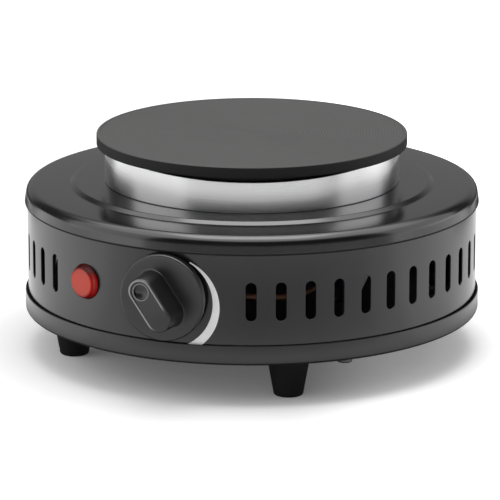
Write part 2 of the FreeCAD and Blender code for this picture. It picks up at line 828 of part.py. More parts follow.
def make_feet():
    """Four tapered feet with their screws and nuts."""
    for index in range(FOOT_COUNT):
        foot = turned(f"foot_{index + 1}", [
            ("screw_hole", "foot_height"),
            ("screw_hole", "foot_ceiling"),
            ("foot_counterbore / 2", "foot_ceiling"),
            ("foot_counterbore / 2", "0"),
            ("foot_bottom_diameter / 2", "0", "foot_edge_round"),
            ("foot_top_diameter / 2", "foot_height"),
        ])
        azimuth = f"(foot_angle + {FOOT_STEP * index})"
        stand_at(foot, f"foot_circle * sin{azimuth}", f"-foot_circle * cos{azimuth}")
    screw = screw_outline("foot_ceiling", "base_floor + foot_nut_height + foot_screw_tail")
    turned_ring("foot_screws", screw, "foot_circle", FOOT_COUNT, FOOT_STEP, "foot_angle")
    nuts = new_body("foot_nuts")
    flats = new_sketch(nuts, "XY_Plane", lift="base_floor")
    x, y = "foot_circle * sin(foot_angle)", "-foot_circle * cos(foot_angle)"
    hexagon(flats, "foot_nut_across_flats", x, y)
    circle(flats, x, y, "screw_radius + fit_gap")
    ring_of(nuts, extrude(nuts, "Pad", flats, "foot_nut_height"), FOOT_COUNT, FOOT_STEP)


def make_tie_brackets():
    """Sheet brackets that hold the top pan to the base, each with a gusset at one side, and their screws."""
    strip = "tie_strip_width / 2"
    slope_top = "pan_under - tie_gusset_height"
    screws = new_body("base_screws")
    for index, azimuth in enumerate(TIE_ANGLES, start=1):
        body = new_body(f"tie_bracket_{index}")
        side = new_sketch(body, "YZ_Plane")
        inner, end = "-tie_face + tie_sheet", "-tie_face + tie_flange"
        outline(side, [
            ("-tie_face", "base_floor", "tie_bend"),
            (end, "base_floor"),
            (end, "base_floor + tie_sheet"),
            (inner, "base_floor + tie_sheet", "tie_bend - tie_sheet"),
            (inner, "pan_under - tie_sheet", "tie_bend - tie_sheet"),
            (end, "pan_under - tie_sheet"),
            (end, "pan_under"),
            ("-tie_face", "pan_under", "tie_bend"),
        ])
        extrude(body, "Pad", side, "2 * tie_gusset_reach", both=True)
        trim = new_sketch(body, "XZ_Plane")
        rectangle(trim, "-2 * tie_gusset_reach", f"-{strip}", "foot_height", "plate_top")
        outline(trim, [
            (strip, "foot_height"),
            ("2 * tie_gusset_reach", "foot_height"),
            ("2 * tie_gusset_reach", slope_top),
            ("tie_gusset_reach", slope_top),
            (strip, f"{slope_top} - tie_gusset_slope"),
        ])
        extrude(body, "Pocket", trim, backwards=True)
        hole = new_sketch(body, "XY_Plane", lift="base_floor + 2 * tie_sheet")
        circle(hole, "0", "-tie_screw_circle", "screw_radius + fit_gap")
        extrude(body, "Pocket", hole)
        swing_to(body, azimuth)
        turned_aside(screws, screw_outline("foot_height", "base_floor + tie_sheet + tie_screw_tail"),
                     "tie_screw_circle", azimuth)


def make_thermostat():
    """Bimetal thermostat: a bracket behind the wall, a bush, and a ceramic stack of contact blades."""
    def bracket_face(sketch):
        half = "bracket_width / 2"
        rectangle(sketch, f"-{half}", half, "-bracket_bottom", "bracket_top")
        circle(sketch, "0", "0", "bush_diameter / 2 + fit_gap")
        circle(sketch, "0", "-stack_offset", "rivet_diameter / 2 + fit_gap")
        for side in (-1, 1):
            circle(sketch, f"{side} * fixing_spread / 2", "0", "screw_radius + fit_gap")

    def blade_face(sketch, width, low, high, holes):
        rectangle(sketch, f"-{width} / 2", f"{width} / 2", f"-({low})", high)
        for level, radius in holes:
            circle(sketch, "0", level, radius)

    rivet_hole = ("-stack_offset", "rivet_diameter / 2 + fit_gap")
    contact_hole = ("contact_position", "contact_diameter / 4 + fit_gap")
    flat_piece("thermostat_bracket", bracket_face, "bracket_back", "bracket_sheet")

    def moving_face(sketch):
        blade_face(sketch, "blade_width", "tail_end", "blade_reach", [rivet_hole, contact_hole])

    def bimetal_face(sketch):
        holes = [rivet_hole, ("push_pin_position", "push_pin_diameter / 4 + fit_gap")]
        blade_face(sketch, "bimetal_width", "stack_offset + fixed_blade_tail", "bimetal_reach", holes)

    def fixed_face(sketch):
        half, low, high = "blade_width / 2", "-tab_width / 2", "tab_width / 2"
        far = f"({half} + tab_length)"
        outline(sketch, [
            (f"-{half}", "-stack_offset - fixed_blade_tail"),
            (half, "-stack_offset - fixed_blade_tail"),
            (half, low), (far, low), (far, high), (half, high),
            (half, "blade_reach"), (f"-{half}", "blade_reach"),
            (f"-{half}", high), (f"-{far}", high), (f"-{far}", low), (f"-{half}", low),
        ])
        circle(sketch, "0", *rivet_hole)
        circle(sketch, "0", *contact_hole)
        circle(sketch, "0", "push_pin_position", "push_pin_diameter / 2 + push_pin_gap")

    flat_piece("moving_contact_blade", moving_face, "moving_back", "blade_sheet")
    flat_piece("fixed_contact_blade", fixed_face, "fixed_back", "blade_sheet")
    flat_piece("bimetal_strip", bimetal_face, "bimetal_back", "bimetal_sheet")

    stack = new_body("stack_insulators")
    for back, length in (
        ("moving_front", "first_insulator"),
        ("fixed_front", "second_insulator"),
        ("bimetal_front", "third_insulator"),
        ("stack_back", "fourth_insulator"),
    ):
        ring = new_sketch(stack, "XY_Plane", lift=back)
        circle(ring, "0", "-stack_offset", "stack_diameter / 2")
        circle(ring, "0", *rivet_hole)
        extrude(stack, "Pad", ring, length)
    face_outwards(stack)

    rivet = turned("stack_rivet", [
        ("0", "stack_back - rivet_head_height"),
        ("rivet_head_diameter / 2", "stack_back - rivet_head_height"),
        ("rivet_head_diameter / 2", "stack_back"),
        ("rivet_diameter / 2", "stack_back"),
        ("rivet_diameter / 2", "bracket_front"),
        ("rivet_head_diameter / 2", "bracket_front"),
        ("rivet_head_diameter / 2", "bracket_front + rivet_head_height"),
        ("0", "bracket_front + rivet_head_height"),
    ])
    face_outwards(rivet, height="control_height - stack_offset")

    contacts = new_body("contact_rivets")
    for button_face, shank_back, inwards in (
        ("moving_back", "moving_back", True),
        ("fixed_front", "fixed_back", False),
    ):
        button = new_sketch(contacts, "XY_Plane", lift=button_face)
        circle(button, "0", "contact_position", "contact_diameter / 2")
        extrude(contacts, "Pad", button, "contact_height", backwards=inwards)
        shank = new_sketch(contacts, "XY_Plane", lift=shank_back)
        circle(shank, "0", "contact_position", "contact_diameter / 4")
        extrude(contacts, "Pad", shank, "blade_sheet")
    face_outwards(contacts)

    pin = turned("push_pin", [
        ("0", "bimetal_back"),
        ("push_pin_diameter / 4", "bimetal_back"),
        ("push_pin_diameter / 4", "bimetal_front"),
        ("push_pin_diameter / 2", "bimetal_front"),
        ("push_pin_diameter / 2", "moving_back - push_pin_gap"),
        ("0", "moving_back - push_pin_gap"),
    ])
    face_outwards(pin, height="control_height + push_pin_position")

    bush = turned("shaft_bush", [
        ("shaft_diameter / 2 + shaft_running_gap", "bracket_front - bush_length"),
        ("bush_diameter / 2", "bracket_front - bush_length", "blade_sheet"),
        ("bush_diameter / 2", "bracket_front"),
        ("shaft_diameter / 2 + shaft_running_gap", "bracket_front"),
    ])
    face_outwards(bush)

    screws = new_body("thermostat_screws")
    half = new_sketch(screws, "XZ_Plane")
    seat = "sqrt(wall_outer^2 - (fixing_spread / 2 - screw_head_diameter / 2)^2) + seat_gap"
    outline(half, shifted(screw_outline(seat, "bracket_back - screw_radius", up=False), "fixing_spread / 2"))
    own_axis(half, "fixing_spread / 2")
    ring_of(screws, revolve(screws, half, axis="Axis0"), 2, "180")
    face_outwards(screws)


def make_knob():
    """Thermostat shaft, knob with its grip bar and pointer, and the spring clip on the shaft's flat."""
    shaft = new_body("thermostat_shaft")
    section = new_sketch(shaft, "XY_Plane", lift="shaft_tip")
    circle(section, "0", "0", "shaft_diameter / 2")
    extrude(shaft, "Pad", section, "shaft_end - shaft_tip")
    flat = new_sketch(shaft, "XY_Plane", lift="shaft_end")
    rectangle(flat, "-shaft_diameter", "shaft_diameter", "shaft_flat", "shaft_diameter")
    extrude(shaft, "Pocket", flat, "clip_length + fit_gap")
    face_outwards(shaft, turn="knob_rest_turn")

    rim = "knob_diameter / 2"
    knob = turned("knob", [
        ("0", "wall_outer + knob_hub_gap"),
        ("knob_hub_diameter / 2", "wall_outer + knob_hub_gap"),
        ("knob_hub_diameter / 2", "knob_front - knob_skin"),
        (f"{rim} - knob_skin", "knob_front - knob_skin"),
        (f"{rim} - knob_skin", "knob_back"),
        (rim, "knob_back"),
        (rim, "knob_front", "knob_edge_round"),
        ("0", "knob_front"),
    ])
    base = new_sketch(knob, "XY_Plane", lift="knob_front - knob_skin / 2")
    obround(base, "0", "0", "grip_length", "grip_width")
    grip = extrude(knob, "Pad", base, "grip_height + knob_skin / 2")
    grip.setExpression("TaperAngle", cells("-grip_draft"))
    doc.recompute()
    top_level = value("grip_front")
    rim_edges = [f"Edge{number}" for number, edge in enumerate(knob.Shape.Edges, start=1)
                 if all(abs(vertex.Z - top_level) < 1e-4 for vertex in edge.Vertexes)]
    softened = knob.newObject("PartDesign::Fillet", "knob_softened")
    softened.Base = (grip, rim_edges)
    softened.setExpression("Radius", cells("grip_edge_round"))
    knob.Tip = softened
    shrink = "2 * grip_height * tan(grip_draft)"
    inset = f"({shrink} + 2 * grip_lip)"
    ramp = new_sketch(knob, "XY_Plane", lift="grip_front", turn="-grip_ramp_turn", axis="1;0;0")
    obround(ramp, "0", "0", f"grip_length - {inset}", f"grip_width - {inset}")
    extrude(knob, "Pocket", ramp, "grip_height", backwards=True)
    drop = "pointer_position * tan(grip_ramp_turn)"
    ring = new_sketch(knob, "XY_Plane", lift=f"grip_front - {drop} - pointer_depth")
    circle(ring, "0", "pointer_position", "pointer_diameter / 2 + pointer_ring")
    extrude(knob, "Pad", ring, "pointer_depth + pointer_ring / 2")
    dimple = new_sketch(knob, "XY_Plane", lift=f"grip_front - {drop} - pointer_depth")
    circle(dimple, "0", "pointer_position", "pointer_diameter / 2")
    extrude(knob, "Pocket", dimple, "grip_height", backwards=True)
    bore = new_sketch(knob, "XY_Plane", lift="wall_outer")
    circle(bore, "0", "0", "knob_bore")
    extrude(knob, "Pocket", bore, "shaft_end + fit_gap - wall_outer", backwards=True)
    face_outwards(knob, turn="knob_rest_turn")

    clip = new_body("knob_clip")
    leaf = new_sketch(clip, "XY_Plane", lift="shaft_end - clip_length")
    under = "shaft_flat + clip_gap"
    rectangle(leaf, "-clip_width / 2", "clip_width / 2", under, f"{under} + clip_sheet")
    extrude(clip, "Pad", leaf, "clip_length")
    face_outwards(clip, turn="knob_rest_turn")


def make_lamp():
    """Signal lamp: a red lens with a hollow barrel, a spring clip, a holder and a neon bulb."""
    bore = "barrel_radius - barrel_wall"
    lens = turned("lamp_lens", [
        ("0", "lens_seat + lens_height"),
        ("0", "lens_seat + lens_height - lens_skin"),
        (bore, "lens_seat + lens_height - lens_skin"),
        (bore, "barrel_back"),
        ("barrel_radius", "barrel_back"),
        ("barrel_radius", "lens_seat"),
        ("lens_base_diameter / 2", "lens_seat"),
        ("lens_face_diameter / 2", "lens_seat + lens_height", "lens_edge_round"),
    ])
    clip = turned("lamp_clip", [
        ("barrel_radius + fit_gap", "clip_front - lamp_clip_sheet"),
        ("lamp_clip_diameter / 2", "clip_front - lamp_clip_sheet"),
        ("lamp_clip_diameter / 2", "clip_front"),
        ("barrel_radius + fit_gap", "clip_front"),
    ])
    floor = "barrel_back - fit_gap"
    holder = turned("lamp_holder", [
        ("0", "holder_back"),
        ("holder_bore + holder_wall", "holder_back", "holder_wall"),
        ("holder_bore + holder_wall", f"{floor} + holder_grip"),
        ("holder_bore", f"{floor} + holder_grip"),
        ("holder_bore", floor),
        ("bulb_diameter / 2 + fit_gap", floor),
        ("bulb_diameter / 2 + fit_gap", "bulb_back - fit_gap"),
        ("0", "bulb_back - fit_gap"),
    ])
    bulb = turned("neon_bulb", [
        ("0", "bulb_back"),
        ("bulb_diameter / 2", "bulb_back"),
        ("bulb_diameter / 2", "bulb_back + bulb_length", "bulb_diameter * 0.4"),
        ("0", "bulb_back + bulb_length"),
    ])
    for body in (lens, clip, holder, bulb):
        face_outwards(body, "lamp_angle")


def make_gland():
    """Cord gland at the back: a bush snapped into the wall, with the bore for the cord."""
    gland = turned("cord_gland", [
        ("gland_bore / 2", "gland_groove - gland_inner_length"),
        ("gland_inner_flange_diameter / 2 - gland_edge_round", "gland_groove - gland_inner_length"),
        ("gland_inner_flange_diameter / 2", "gland_groove"),
        ("gland_neck_diameter / 2", "gland_groove"),
        ("gland_neck_diameter / 2", "wall_outer + seat_gap"),
        ("gland_flange_diameter / 2", "wall_outer + seat_gap"),
        ("gland_flange_diameter / 2", "wall_outer + seat_gap + gland_flange_height", "gland_edge_round"),
        ("gland_bore / 2", "wall_outer + seat_gap + gland_flange_height"),
    ])
    face_outwards(gland, "gland_angle", height="gland_height")


def make_terminal_block():
    """Three-way terminal block on the base, with its clamp screws and fixing screws, and the earth screw."""
    middle = "block_back - block_depth / 2"
    lug_x = "(block_width + block_lug) / 2"
    block = new_body("terminal_block")
    lugs = new_sketch(block, "XY_Plane", lift="base_floor")
    reach = "block_width / 2 + block_lug"
    half = "block_lug / 2"
    outline(lugs, [
        (f"-({reach})", f"{middle} - {half}", "block_chamfer"),
        (reach, f"{middle} - {half}", "block_chamfer"),
        (reach, f"{middle} + {half}", "block_chamfer"),
        (f"-({reach})", f"{middle} + {half}", "block_chamfer"),
    ])
    extrude(block, "Pad", lugs, "block_lug_height")
    end = new_sketch(block, "XZ_Plane", lift="-block_front")
    side = "block_width / 2"
    outline(end, [
        (f"-{side}", "base_floor"),
        (side, "base_floor"),
        (side, "block_top - block_chamfer"),
        (f"{side} - block_chamfer", "block_top"),
        (f"-{side} + block_chamfer", "block_top"),
        (f"-{side}", "block_top - block_chamfer"),
    ])
    extrude(block, "Pad", end, "block_depth", backwards=True)
    ports = new_sketch(block, "XZ_Plane", lift="-block_front")
    wells = new_sketch(block, "XY_Plane", lift="block_top")
    for index in (-1, 0, 1):
        circle(ports, f"{index} * port_pitch", "port_level", "port_diameter / 2")
        circle(wells, f"{index} * port_pitch", middle, "clamp_screw_diameter / 2")
    extrude(block, "Pocket", ports)
    extrude(block, "Pocket", wells, "block_height - port_height")
    fixing = new_sketch(block, "XY_Plane", lift="block_top")
    for sign in (-1, 1):
        circle(fixing, f"{sign} * {lug_x}", middle, "screw_radius + fit_gap")
    extrude(block, "Pocket", fixing)

    clamps = new_body("block_clamp_screws")
    lengths = new_sketch(clamps, "XY_Plane", lift="block_top - clamp_screw_inset")
    for index in (-1, 0, 1):
        circle(lengths, f"{index} * port_pitch", middle, "clamp_screw_diameter / 2 - fit_gap")
    clamp_length = "block_height - port_height - port_diameter / 2 - clamp_screw_inset"
    extrude(clamps, "Pad", lengths, clamp_length, backwards=True)

    block_seat = "base_floor + block_lug_height"
    for label, x, y, seat in (
        ("block_screw_left", f"-{lug_x}", middle, block_seat),
        ("block_screw_right", lug_x, middle, block_seat),
        ("earth_screw", "earth_screw_x", "earth_screw_y", "base_floor + earth_screw_stand"),
    ):
        screw = turned(label, screw_outline(seat, "foot_height - screw_radius", up=False))
        stand_at(screw, x, y)


def make_lead(label, points, diameter):
    """A round lead along straight runs joined by tangent arcs, each as large as its runs allow."""
    radius = value(diameter) / 2
    edges, start, radii = [], points[0], []
    for before, here, after in zip(points, points[1:], points[2:]):
        back, ahead = before - here, after - here
        half = (math.pi - back.getAngle(ahead)) / 2
        reach = 0.45 * min(back.Length, ahead.Length)
        back.normalize()
        ahead.normalize()
        first, last = here + back * reach, here + ahead * reach
        bend = reach / math.tan(half)
        inward = (back + ahead).normalize()
        middle = here + inward * (bend / math.cos(half) - bend)
        edges += [Part.LineSegment(start, first).toShape(), Part.Arc(first, middle, last).toShape()]
        radii.append(bend)
        start = last
    edges.append(Part.LineSegment(start, points[-1]).toShape())
    path = Part.Wire(edges)
    direction = points[1] - points[0]
    profile = Part.Wire([Part.Circle(points[0], direction, radius).toShape()])
    lead = doc.addObject("Part::Feature", label)
    lead.Label = label
    lead.Shape = path.makePipeShell([profile], True, False)
    parts.append(lead)
    wanted = math.pi * radius ** 2 * path.Length
    print(f"{label}: least radius {min(radii):.1f}, volume share {lead.Shape.Volume / wanted:.4f}")


def spot(x, y, z):
    """A point from three formulas."""
    return Vector(value(x), value(y), value(z))


def along(x_share, y_share, level, rise):
    """A point on a lead's way: shares of the wall's radius, and a rise above a named level."""
    radius = value("wall_outer")
    return Vector(x_share * radius, y_share * radius, value(level) + rise)


def make_leads():
    """The leads inside the body, from the terminal block to thermostat, heater, lamp and earth."""
    port = "block_front + lead_entry"
    live_port = spot("-port_pitch", port, "port_level")
    neutral_port = spot("lead_diameter / 2", port, "port_level")
    lamp_port = spot("-lamp_lead_diameter / 2 - fit_gap", port, "port_level")
    earth_port = spot("port_pitch", port, "port_level")
    tail = spot("0", "-moving_back", "control_height - tail_end + lead_diameter / 2 + 1")
    tab = "blade_width / 2 + tab_length"
    switched_tab = spot(tab, "-fixed_back - blade_sheet / 2", "control_height")
    lamp_tab = spot(f"-({tab})", "-fixed_back - blade_sheet / 2", "control_height")
    pins = []
    for index in (-1, 0, 1):
        azimuth = f"(terminal_angle + {index} * terminal_step)"
        x, y = f"outer_coil_radius * sin{azimuth}", f"-outer_coil_radius * cos{azimuth}"
        pins.append(spot(x, y, "pin_bottom"))
    below = Vector(0, 0, -1)
    make_lead("live_lead", [
        live_port,
        live_port + Vector(0, -14, 0),
        along(-0.125, 0.445, "base_floor", 3.5),
        along(-0.142, 0.23, "base_floor", 2),
        along(-0.116, -0.09, "base_floor", 1.8),
        along(-0.062, -0.427, "base_floor", 2.2),
        along(-0.013, -0.677, "base_floor", 4.2),
        tail + Vector(0, 16, 0),
        tail,
    ], "lead_diameter")
    make_lead("switched_lead", [
        switched_tab,
        switched_tab + Vector(11, 0, 0),
        along(0.356, -0.833, "control_height", -1.7),
        along(0.508, -0.735, "control_height", -2.2),
        along(0.552, -0.57, "control_height", 0.3),
        along(0.508, -0.427, "control_height", 9.3),
        pins[0] + Vector(2, -3, -10),
        pins[0] + below * 4,
        pins[0],
    ], "lead_diameter")
    make_lead("neutral_lead", [
        neutral_port,
        neutral_port + Vector(1, -13, -0.5),
        along(0.098, 0.356, "base_floor", 3),
        along(0.285, 0.16, "base_floor", 2.2),
        along(0.445, -0.053, "base_floor", 7),
        along(0.508, -0.214, "base_floor", 21),
        pins[1] + Vector(3, 2.6, -17),
        pins[1] + below * 5,
        pins[1],
    ], "lead_diameter")
    earth = spot("earth_screw_x", "earth_screw_y", "base_floor + earth_screw_stand / 2")
    approach = Vector(9, 4, 0).normalize()
    earth_end = earth - approach * value("screw_radius + fit_gap")
    make_lead("earth_lead", [
        earth_port,
        earth_port + Vector(0.5, -11, -0.8),
        along(0.125, 0.418, "base_floor", 2.6),
        along(0.196, 0.432, "base_floor", 1.6),
        earth_end - approach * 6,
        earth_end,
    ], "lead_diameter")
    holder_ends = []
    for side in (-1, 1):
        level = f"control_height + {side} * bulb_diameter / 3"
        holder_ends.append(spot("holder_back * sin(lamp_angle)", "-holder_back * cos(lamp_angle)", level))
    inwards = Vector(-holder_ends[0].x, -holder_ends[0].y, 0).normalize()
    make_lead("lamp_live_lead", [
        holder_ends[1],
        holder_ends[1] + inwards * 8,
        along(-0.232, -0.641, "control_height", 0.3),
        along(-0.169, -0.712, "control_height", -0.2),
        lamp_tab + Vector(-9, 4, 0),
        lamp_tab + Vector(-5, 0, 0),
        lamp_tab,
    ], "lamp_lead_diameter")
    make_lead("lamp_neutral_lead", [
        holder_ends[0],
        holder_ends[0] + inwards * 9,
        along(-0.276, -0.534, "base_floor", 19),
        along(-0.249, -0.338, "base_floor", 8),
        along(-0.205, -0.071, "base_floor", 5),
        along(-0.08, 0.196, "base_floor", 5.4),
        along(-0.027, 0.392, "base_floor", 4),
        lamp_port + Vector(-0.5, -12, -0.6),
        lamp_port,
    ], "lamp_lead_diameter")


make_base_pan()
make_side_wall()
make_top_pan()
make_collar()
make_plate()
make_heaters()
make_plate_mounting()
make_terminals()
make_feet()
make_tie_brackets()
make_thermostat()
make_knob()
make_lamp()
make_gland()
make_terminal_block()
make_leads()

doc.recompute()
failed = [item.Label for item in doc.Objects if "Invalid" in item.State or "Error" in item.State]
failed += [part.Label for part in parts if part.Shape.isNull() or not part.Shape.isValid()]
if failed:
    raise RuntimeError("not built: " + ", ".join(failed))
os.makedirs("parts", exist_ok=True)
for part in parts:
    part.Shape.exportStep(f"parts/{part.Label}.step")
print(len(parts), "parts written")
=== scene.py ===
# %% Load the frame
import math

import bmesh
import bpy
import numpy as np
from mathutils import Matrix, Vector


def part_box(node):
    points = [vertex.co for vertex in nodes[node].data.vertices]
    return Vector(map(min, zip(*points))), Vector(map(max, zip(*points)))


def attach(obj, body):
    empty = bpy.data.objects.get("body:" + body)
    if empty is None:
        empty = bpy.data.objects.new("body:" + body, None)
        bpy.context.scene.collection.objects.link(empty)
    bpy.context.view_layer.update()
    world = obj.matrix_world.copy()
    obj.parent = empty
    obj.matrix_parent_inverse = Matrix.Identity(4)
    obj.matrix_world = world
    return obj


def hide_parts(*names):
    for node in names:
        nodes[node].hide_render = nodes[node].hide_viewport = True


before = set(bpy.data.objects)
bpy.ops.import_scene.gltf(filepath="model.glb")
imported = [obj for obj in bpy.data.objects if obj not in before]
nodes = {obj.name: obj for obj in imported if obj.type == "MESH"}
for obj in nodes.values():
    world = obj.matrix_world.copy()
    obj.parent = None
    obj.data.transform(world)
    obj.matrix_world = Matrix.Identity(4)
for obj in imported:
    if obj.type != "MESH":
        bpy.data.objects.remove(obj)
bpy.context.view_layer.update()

print(len(nodes), "construction nodes loaded")

# %% [markdown]
# # A single electric hot plate
# The burner is a cast iron plate on a bright steel collar. Below them is a round black body: a top pan, a
# slotted side wall and a base pan on four feet, with a knob and a red lamp at the front. The construction
# model is already in place, in metres, with the body's axis on Z and the knob towards -Y. This lesson gives
# every piece that shows a finer surface and a finish. The shapes are worked out in millimetres, because the
# real drawing would be in millimetres, and are scaled once, when the mesh is made.

# %% Sizes that the pieces share
MM = 0.001
TURN = 2 * math.pi


def span(node):
    """Lowest and highest corner of a construction node, in millimetres."""
    low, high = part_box(node)
    return np.array(low) / MM, np.array(high) / MM


plate_low, plate_high = span("hot_plate")
pan_low, pan_high = span("top_pan")
wall_low, wall_high = span("side_wall")
base_low, base_high = span("base_pan")
_, collar_high = span("collar_ring")
PLATE_RADIUS, PLATE_TOP = plate_high[0], plate_high[2]
PAN_RADIUS, PLATFORM_TOP = pan_high[0], pan_high[2]
WALL_RADIUS = wall_high[0]
BASE_RADIUS, BASE_UNDER, FLANGE_TOP = base_high[0], base_low[2], base_high[2]
COLLAR_RADIUS, RIM_UNDER = collar_high[0], collar_high[2]
print("plate", PLATE_RADIUS.round(1), "wall", WALL_RADIUS.round(1), "top", PLATE_TOP.round(1))

# %% [markdown]
# ## From arrays to meshes
# Every new piece is a grid of points: rows along a profile, columns round a path. Blender could build such
# forms with its Screw modifier or with Spin, but a grid in numpy says exactly where each point is, and the
# whole array is computed at once. Points that fall in one place are welded, so seams and poles are closed.

# %% Mesh helpers
COLUMNS = 288
WELD_SHIFT = 0.00037


def grid_faces(rows, columns, close_rows=False):
    """Quads between neighbouring rows and columns. Columns run round, and rows too where asked."""
    number = np.arange(rows * columns).reshape(rows, columns)
    here = number if close_rows else number[:-1]
    ahead = np.roll(number, -1, axis=0)[: len(here)]
    quads = [here, np.roll(here, -1, axis=1), np.roll(ahead, -1, axis=1), ahead]
    return np.stack(quads, axis=-1).reshape(-1, 4)


def weld(points, faces):
    """Number the points that lie in one place once. A quad that loses one corner there becomes a triangle.

    The shift keeps round sizes off the edges of the rounding."""
    keys = np.round(points + WELD_SHIFT, 3)
    _, first, number = np.unique(keys, axis=0, return_index=True, return_inverse=True)
    faces = number.reshape(-1)[faces]
    same = faces == np.roll(faces, -1, axis=1)
    lost = same.sum(axis=1)
    triangles = faces[lost == 1][~same[lost == 1]].reshape(-1, 3)
    return first, faces[lost == 0].tolist() + triangles.tolist()


def make_piece(name, points, faces, material, stands_for=(), body="housing", sharp=38, normals=None,
               share=None):
    """Put an array of points in millimetres into a mesh, and seat the piece on its body."""
    points = points.reshape(-1, 3)
    first, corners = weld(points, faces)
    mesh = bpy.data.meshes.new(name)
    mesh.from_pydata((points[first] * MM).tolist(), [], corners)
    shell = bmesh.new()
    shell.from_mesh(mesh)
    bmesh.ops.recalc_face_normals(shell, faces=shell.faces)
    shell.to_mesh(mesh)
    shell.free()
    mesh.shade_smooth()
    if normals is None:
        mesh.set_sharp_from_angle(angle=math.radians(sharp))
    else:
        mesh.normals_split_custom_set_from_vertices(normals.reshape(-1, 3)[first].tolist())
    if share is not None:
        mesh.attributes.new("share", "FLOAT", "POINT").data.foreach_set("value", share.reshape(-1)[first])
    mesh.materials.append(material)
    piece = bpy.data.objects.new(name, mesh)
    bpy.context.scene.collection.objects.link(piece)
    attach(piece, body)
    if stands_for:
        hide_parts(*stands_for)
    print(name, "has", len(mesh.polygons), "faces")
    return piece


def unit(vector):
    """A vector of length one."""
    return vector / np.linalg.norm(vector)


def rounded(corners, steps=7):
    """An outline of corners (x, y, radius): a round one becomes the arc that touches both its sides."""
    path, places = [], np.array([corner[:2] for corner in corners], float)
    for index, (place, radius) in enumerate(zip(places, (corner[2] for corner in corners))):
        if radius == 0:
            path.append(place[None])
            continue
        back = unit(places[index - 1] - place)
        ahead = unit(places[(index + 1) % len(places)] - place)
        half = math.acos(back @ ahead) / 2
        middle, side = unit(back + ahead), unit(ahead - back)
        sweep = np.linspace(-1, 1, steps)[:, None] * (math.pi / 2 - half)
        centre = place + middle * radius / math.sin(half)
        path.append(centre + radius * (np.sin(sweep) * side - np.cos(sweep) * middle))
    return np.concatenate(path)


def turned(profile, columns=COLUMNS):
    """A profile of radius r and height h carried round Z: x = r sin a, y = -r cos a, z = h."""
    angle = np.linspace(0, TURN, columns, endpoint=False)
    radius, height = profile[:, :1], profile[:, 1:]
    return np.stack([radius * np.sin(angle), -radius * np.cos(angle), height + 0 * angle], axis=-1)


def facing_out(points, azimuth, height, turn=0):
    """Stand local points (x right, y up, z outwards) on the wall at an azimuth, after a turn about z."""
    spin, swing = math.radians(turn), math.radians(azimuth)
    x = points[..., 0] * math.cos(spin) - points[..., 1] * math.sin(spin)
    y = points[..., 0] * math.sin(spin) + points[..., 1] * math.cos(spin)
    out = points[..., 2]
    return np.stack([x * math.cos(swing) + out * math.sin(swing),
                     x * math.sin(swing) - out * math.cos(swing), y + height], axis=-1)


# %% [markdown]
# ## Shared effects for the finishes
# Paint, moulded plastic, rubber and cast iron all have a fine grain, and sheet metal has rolling or
# brushing lines. Each effect is a shader node group, built once. It puts out a height for a Bump node and a
# mask that shifts colour and roughness a little, so that no surface is one flat colour.

# %% Node helpers


def new_group(name, inputs, outputs):
    """An empty shader node group with plain number sockets."""
    group = bpy.data.node_groups.new(name, "ShaderNodeTree")
    for label, value in inputs.items():
        socket = group.interface.new_socket(label, in_out="INPUT", socket_type="NodeSocketFloat")
        socket.default_value = value
    for label in outputs:
        group.interface.new_socket(label, in_out="OUTPUT", socket_type="NodeSocketFloat")
    return group, group.nodes.new("NodeGroupInput"), group.nodes.new("NodeGroupOutput")


def add_node(tree, kind, settings=None, **sockets):
    """A node with its settings, and numbers or links on its sockets: by name, or by place as i0 and i1."""
    node = tree.nodes.new("ShaderNode" + kind)
    for label, value in (settings or {}).items():
        setattr(node, label, value)
    for label, value in sockets.items():
        by_place = label[0] == "i" and label[1:].isdigit()
        socket = node.inputs[int(label[1:]) if by_place else label]
        if isinstance(value, bpy.types.NodeSocket):
            tree.links.new(value, socket)
        else:
            socket.default_value = value
    return node


def object_places(tree):
    """The point's own place in the piece, in metres."""
    return add_node(tree, "TexCoord").outputs["Object"]


def reckon(tree, operation, *values):
    """One step of arithmetic on numbers or links."""
    sockets = {f"i{index}": value for index, value in enumerate(values)}
    return add_node(tree, "Math", {"operation": operation}, **sockets).outputs[0]


def mapped(tree, value, low, high):
    """How far a value is on the way from low to high, held between zero and one."""
    node = add_node(tree, "MapRange", Value=value)
    node.inputs["From Min"].default_value, node.inputs["From Max"].default_value = low, high
    return node.outputs["Result"]


def mixed(tree, share, first, second, blend="MIX"):
    """Two colours mixed by a share, or multiplied where asked."""
    settings = {"data_type": "RGBA", "blend_type": blend}
    return add_node(tree, "Mix", settings, i0=share, i6=first, i7=second).outputs[2]


def ramp_of(tree, value, stops, blending="LINEAR"):
    """A colour ramp over a value, with stops (position, colour) in rising order."""
    node = add_node(tree, "ValToRGB", Fac=value)
    node.color_ramp.interpolation = blending
    elements = node.color_ramp.elements
    for index, (position, colour) in enumerate(stops):
        stop = elements[index] if index < 2 else elements.new(position)
        stop.position, stop.color = position, (*colour, 1)
    return node.outputs["Color"]


# %% Fine grain
grain, entry, leave = new_group("fine_grain", {"Scale": 900, "Patches": 30}, ["Height", "Mask"])
place = object_places(grain)
small = add_node(grain, "TexNoise", Vector=place, Scale=entry.outputs["Scale"], Detail=3.0, Roughness=0.6)
broad = add_node(grain, "TexNoise", Vector=place, Scale=entry.outputs["Patches"], Detail=2.0)
speckle = reckon(grain, "MULTIPLY_ADD", small.outputs["Fac"], 0.45, broad.outputs["Fac"])
grain.links.new(small.outputs["Fac"], leave.inputs["Height"])
grain.links.new(mapped(grain, speckle, 0.45, 1.0), leave.inputs["Mask"])
print(grain.name, "has", len(grain.nodes), "nodes")

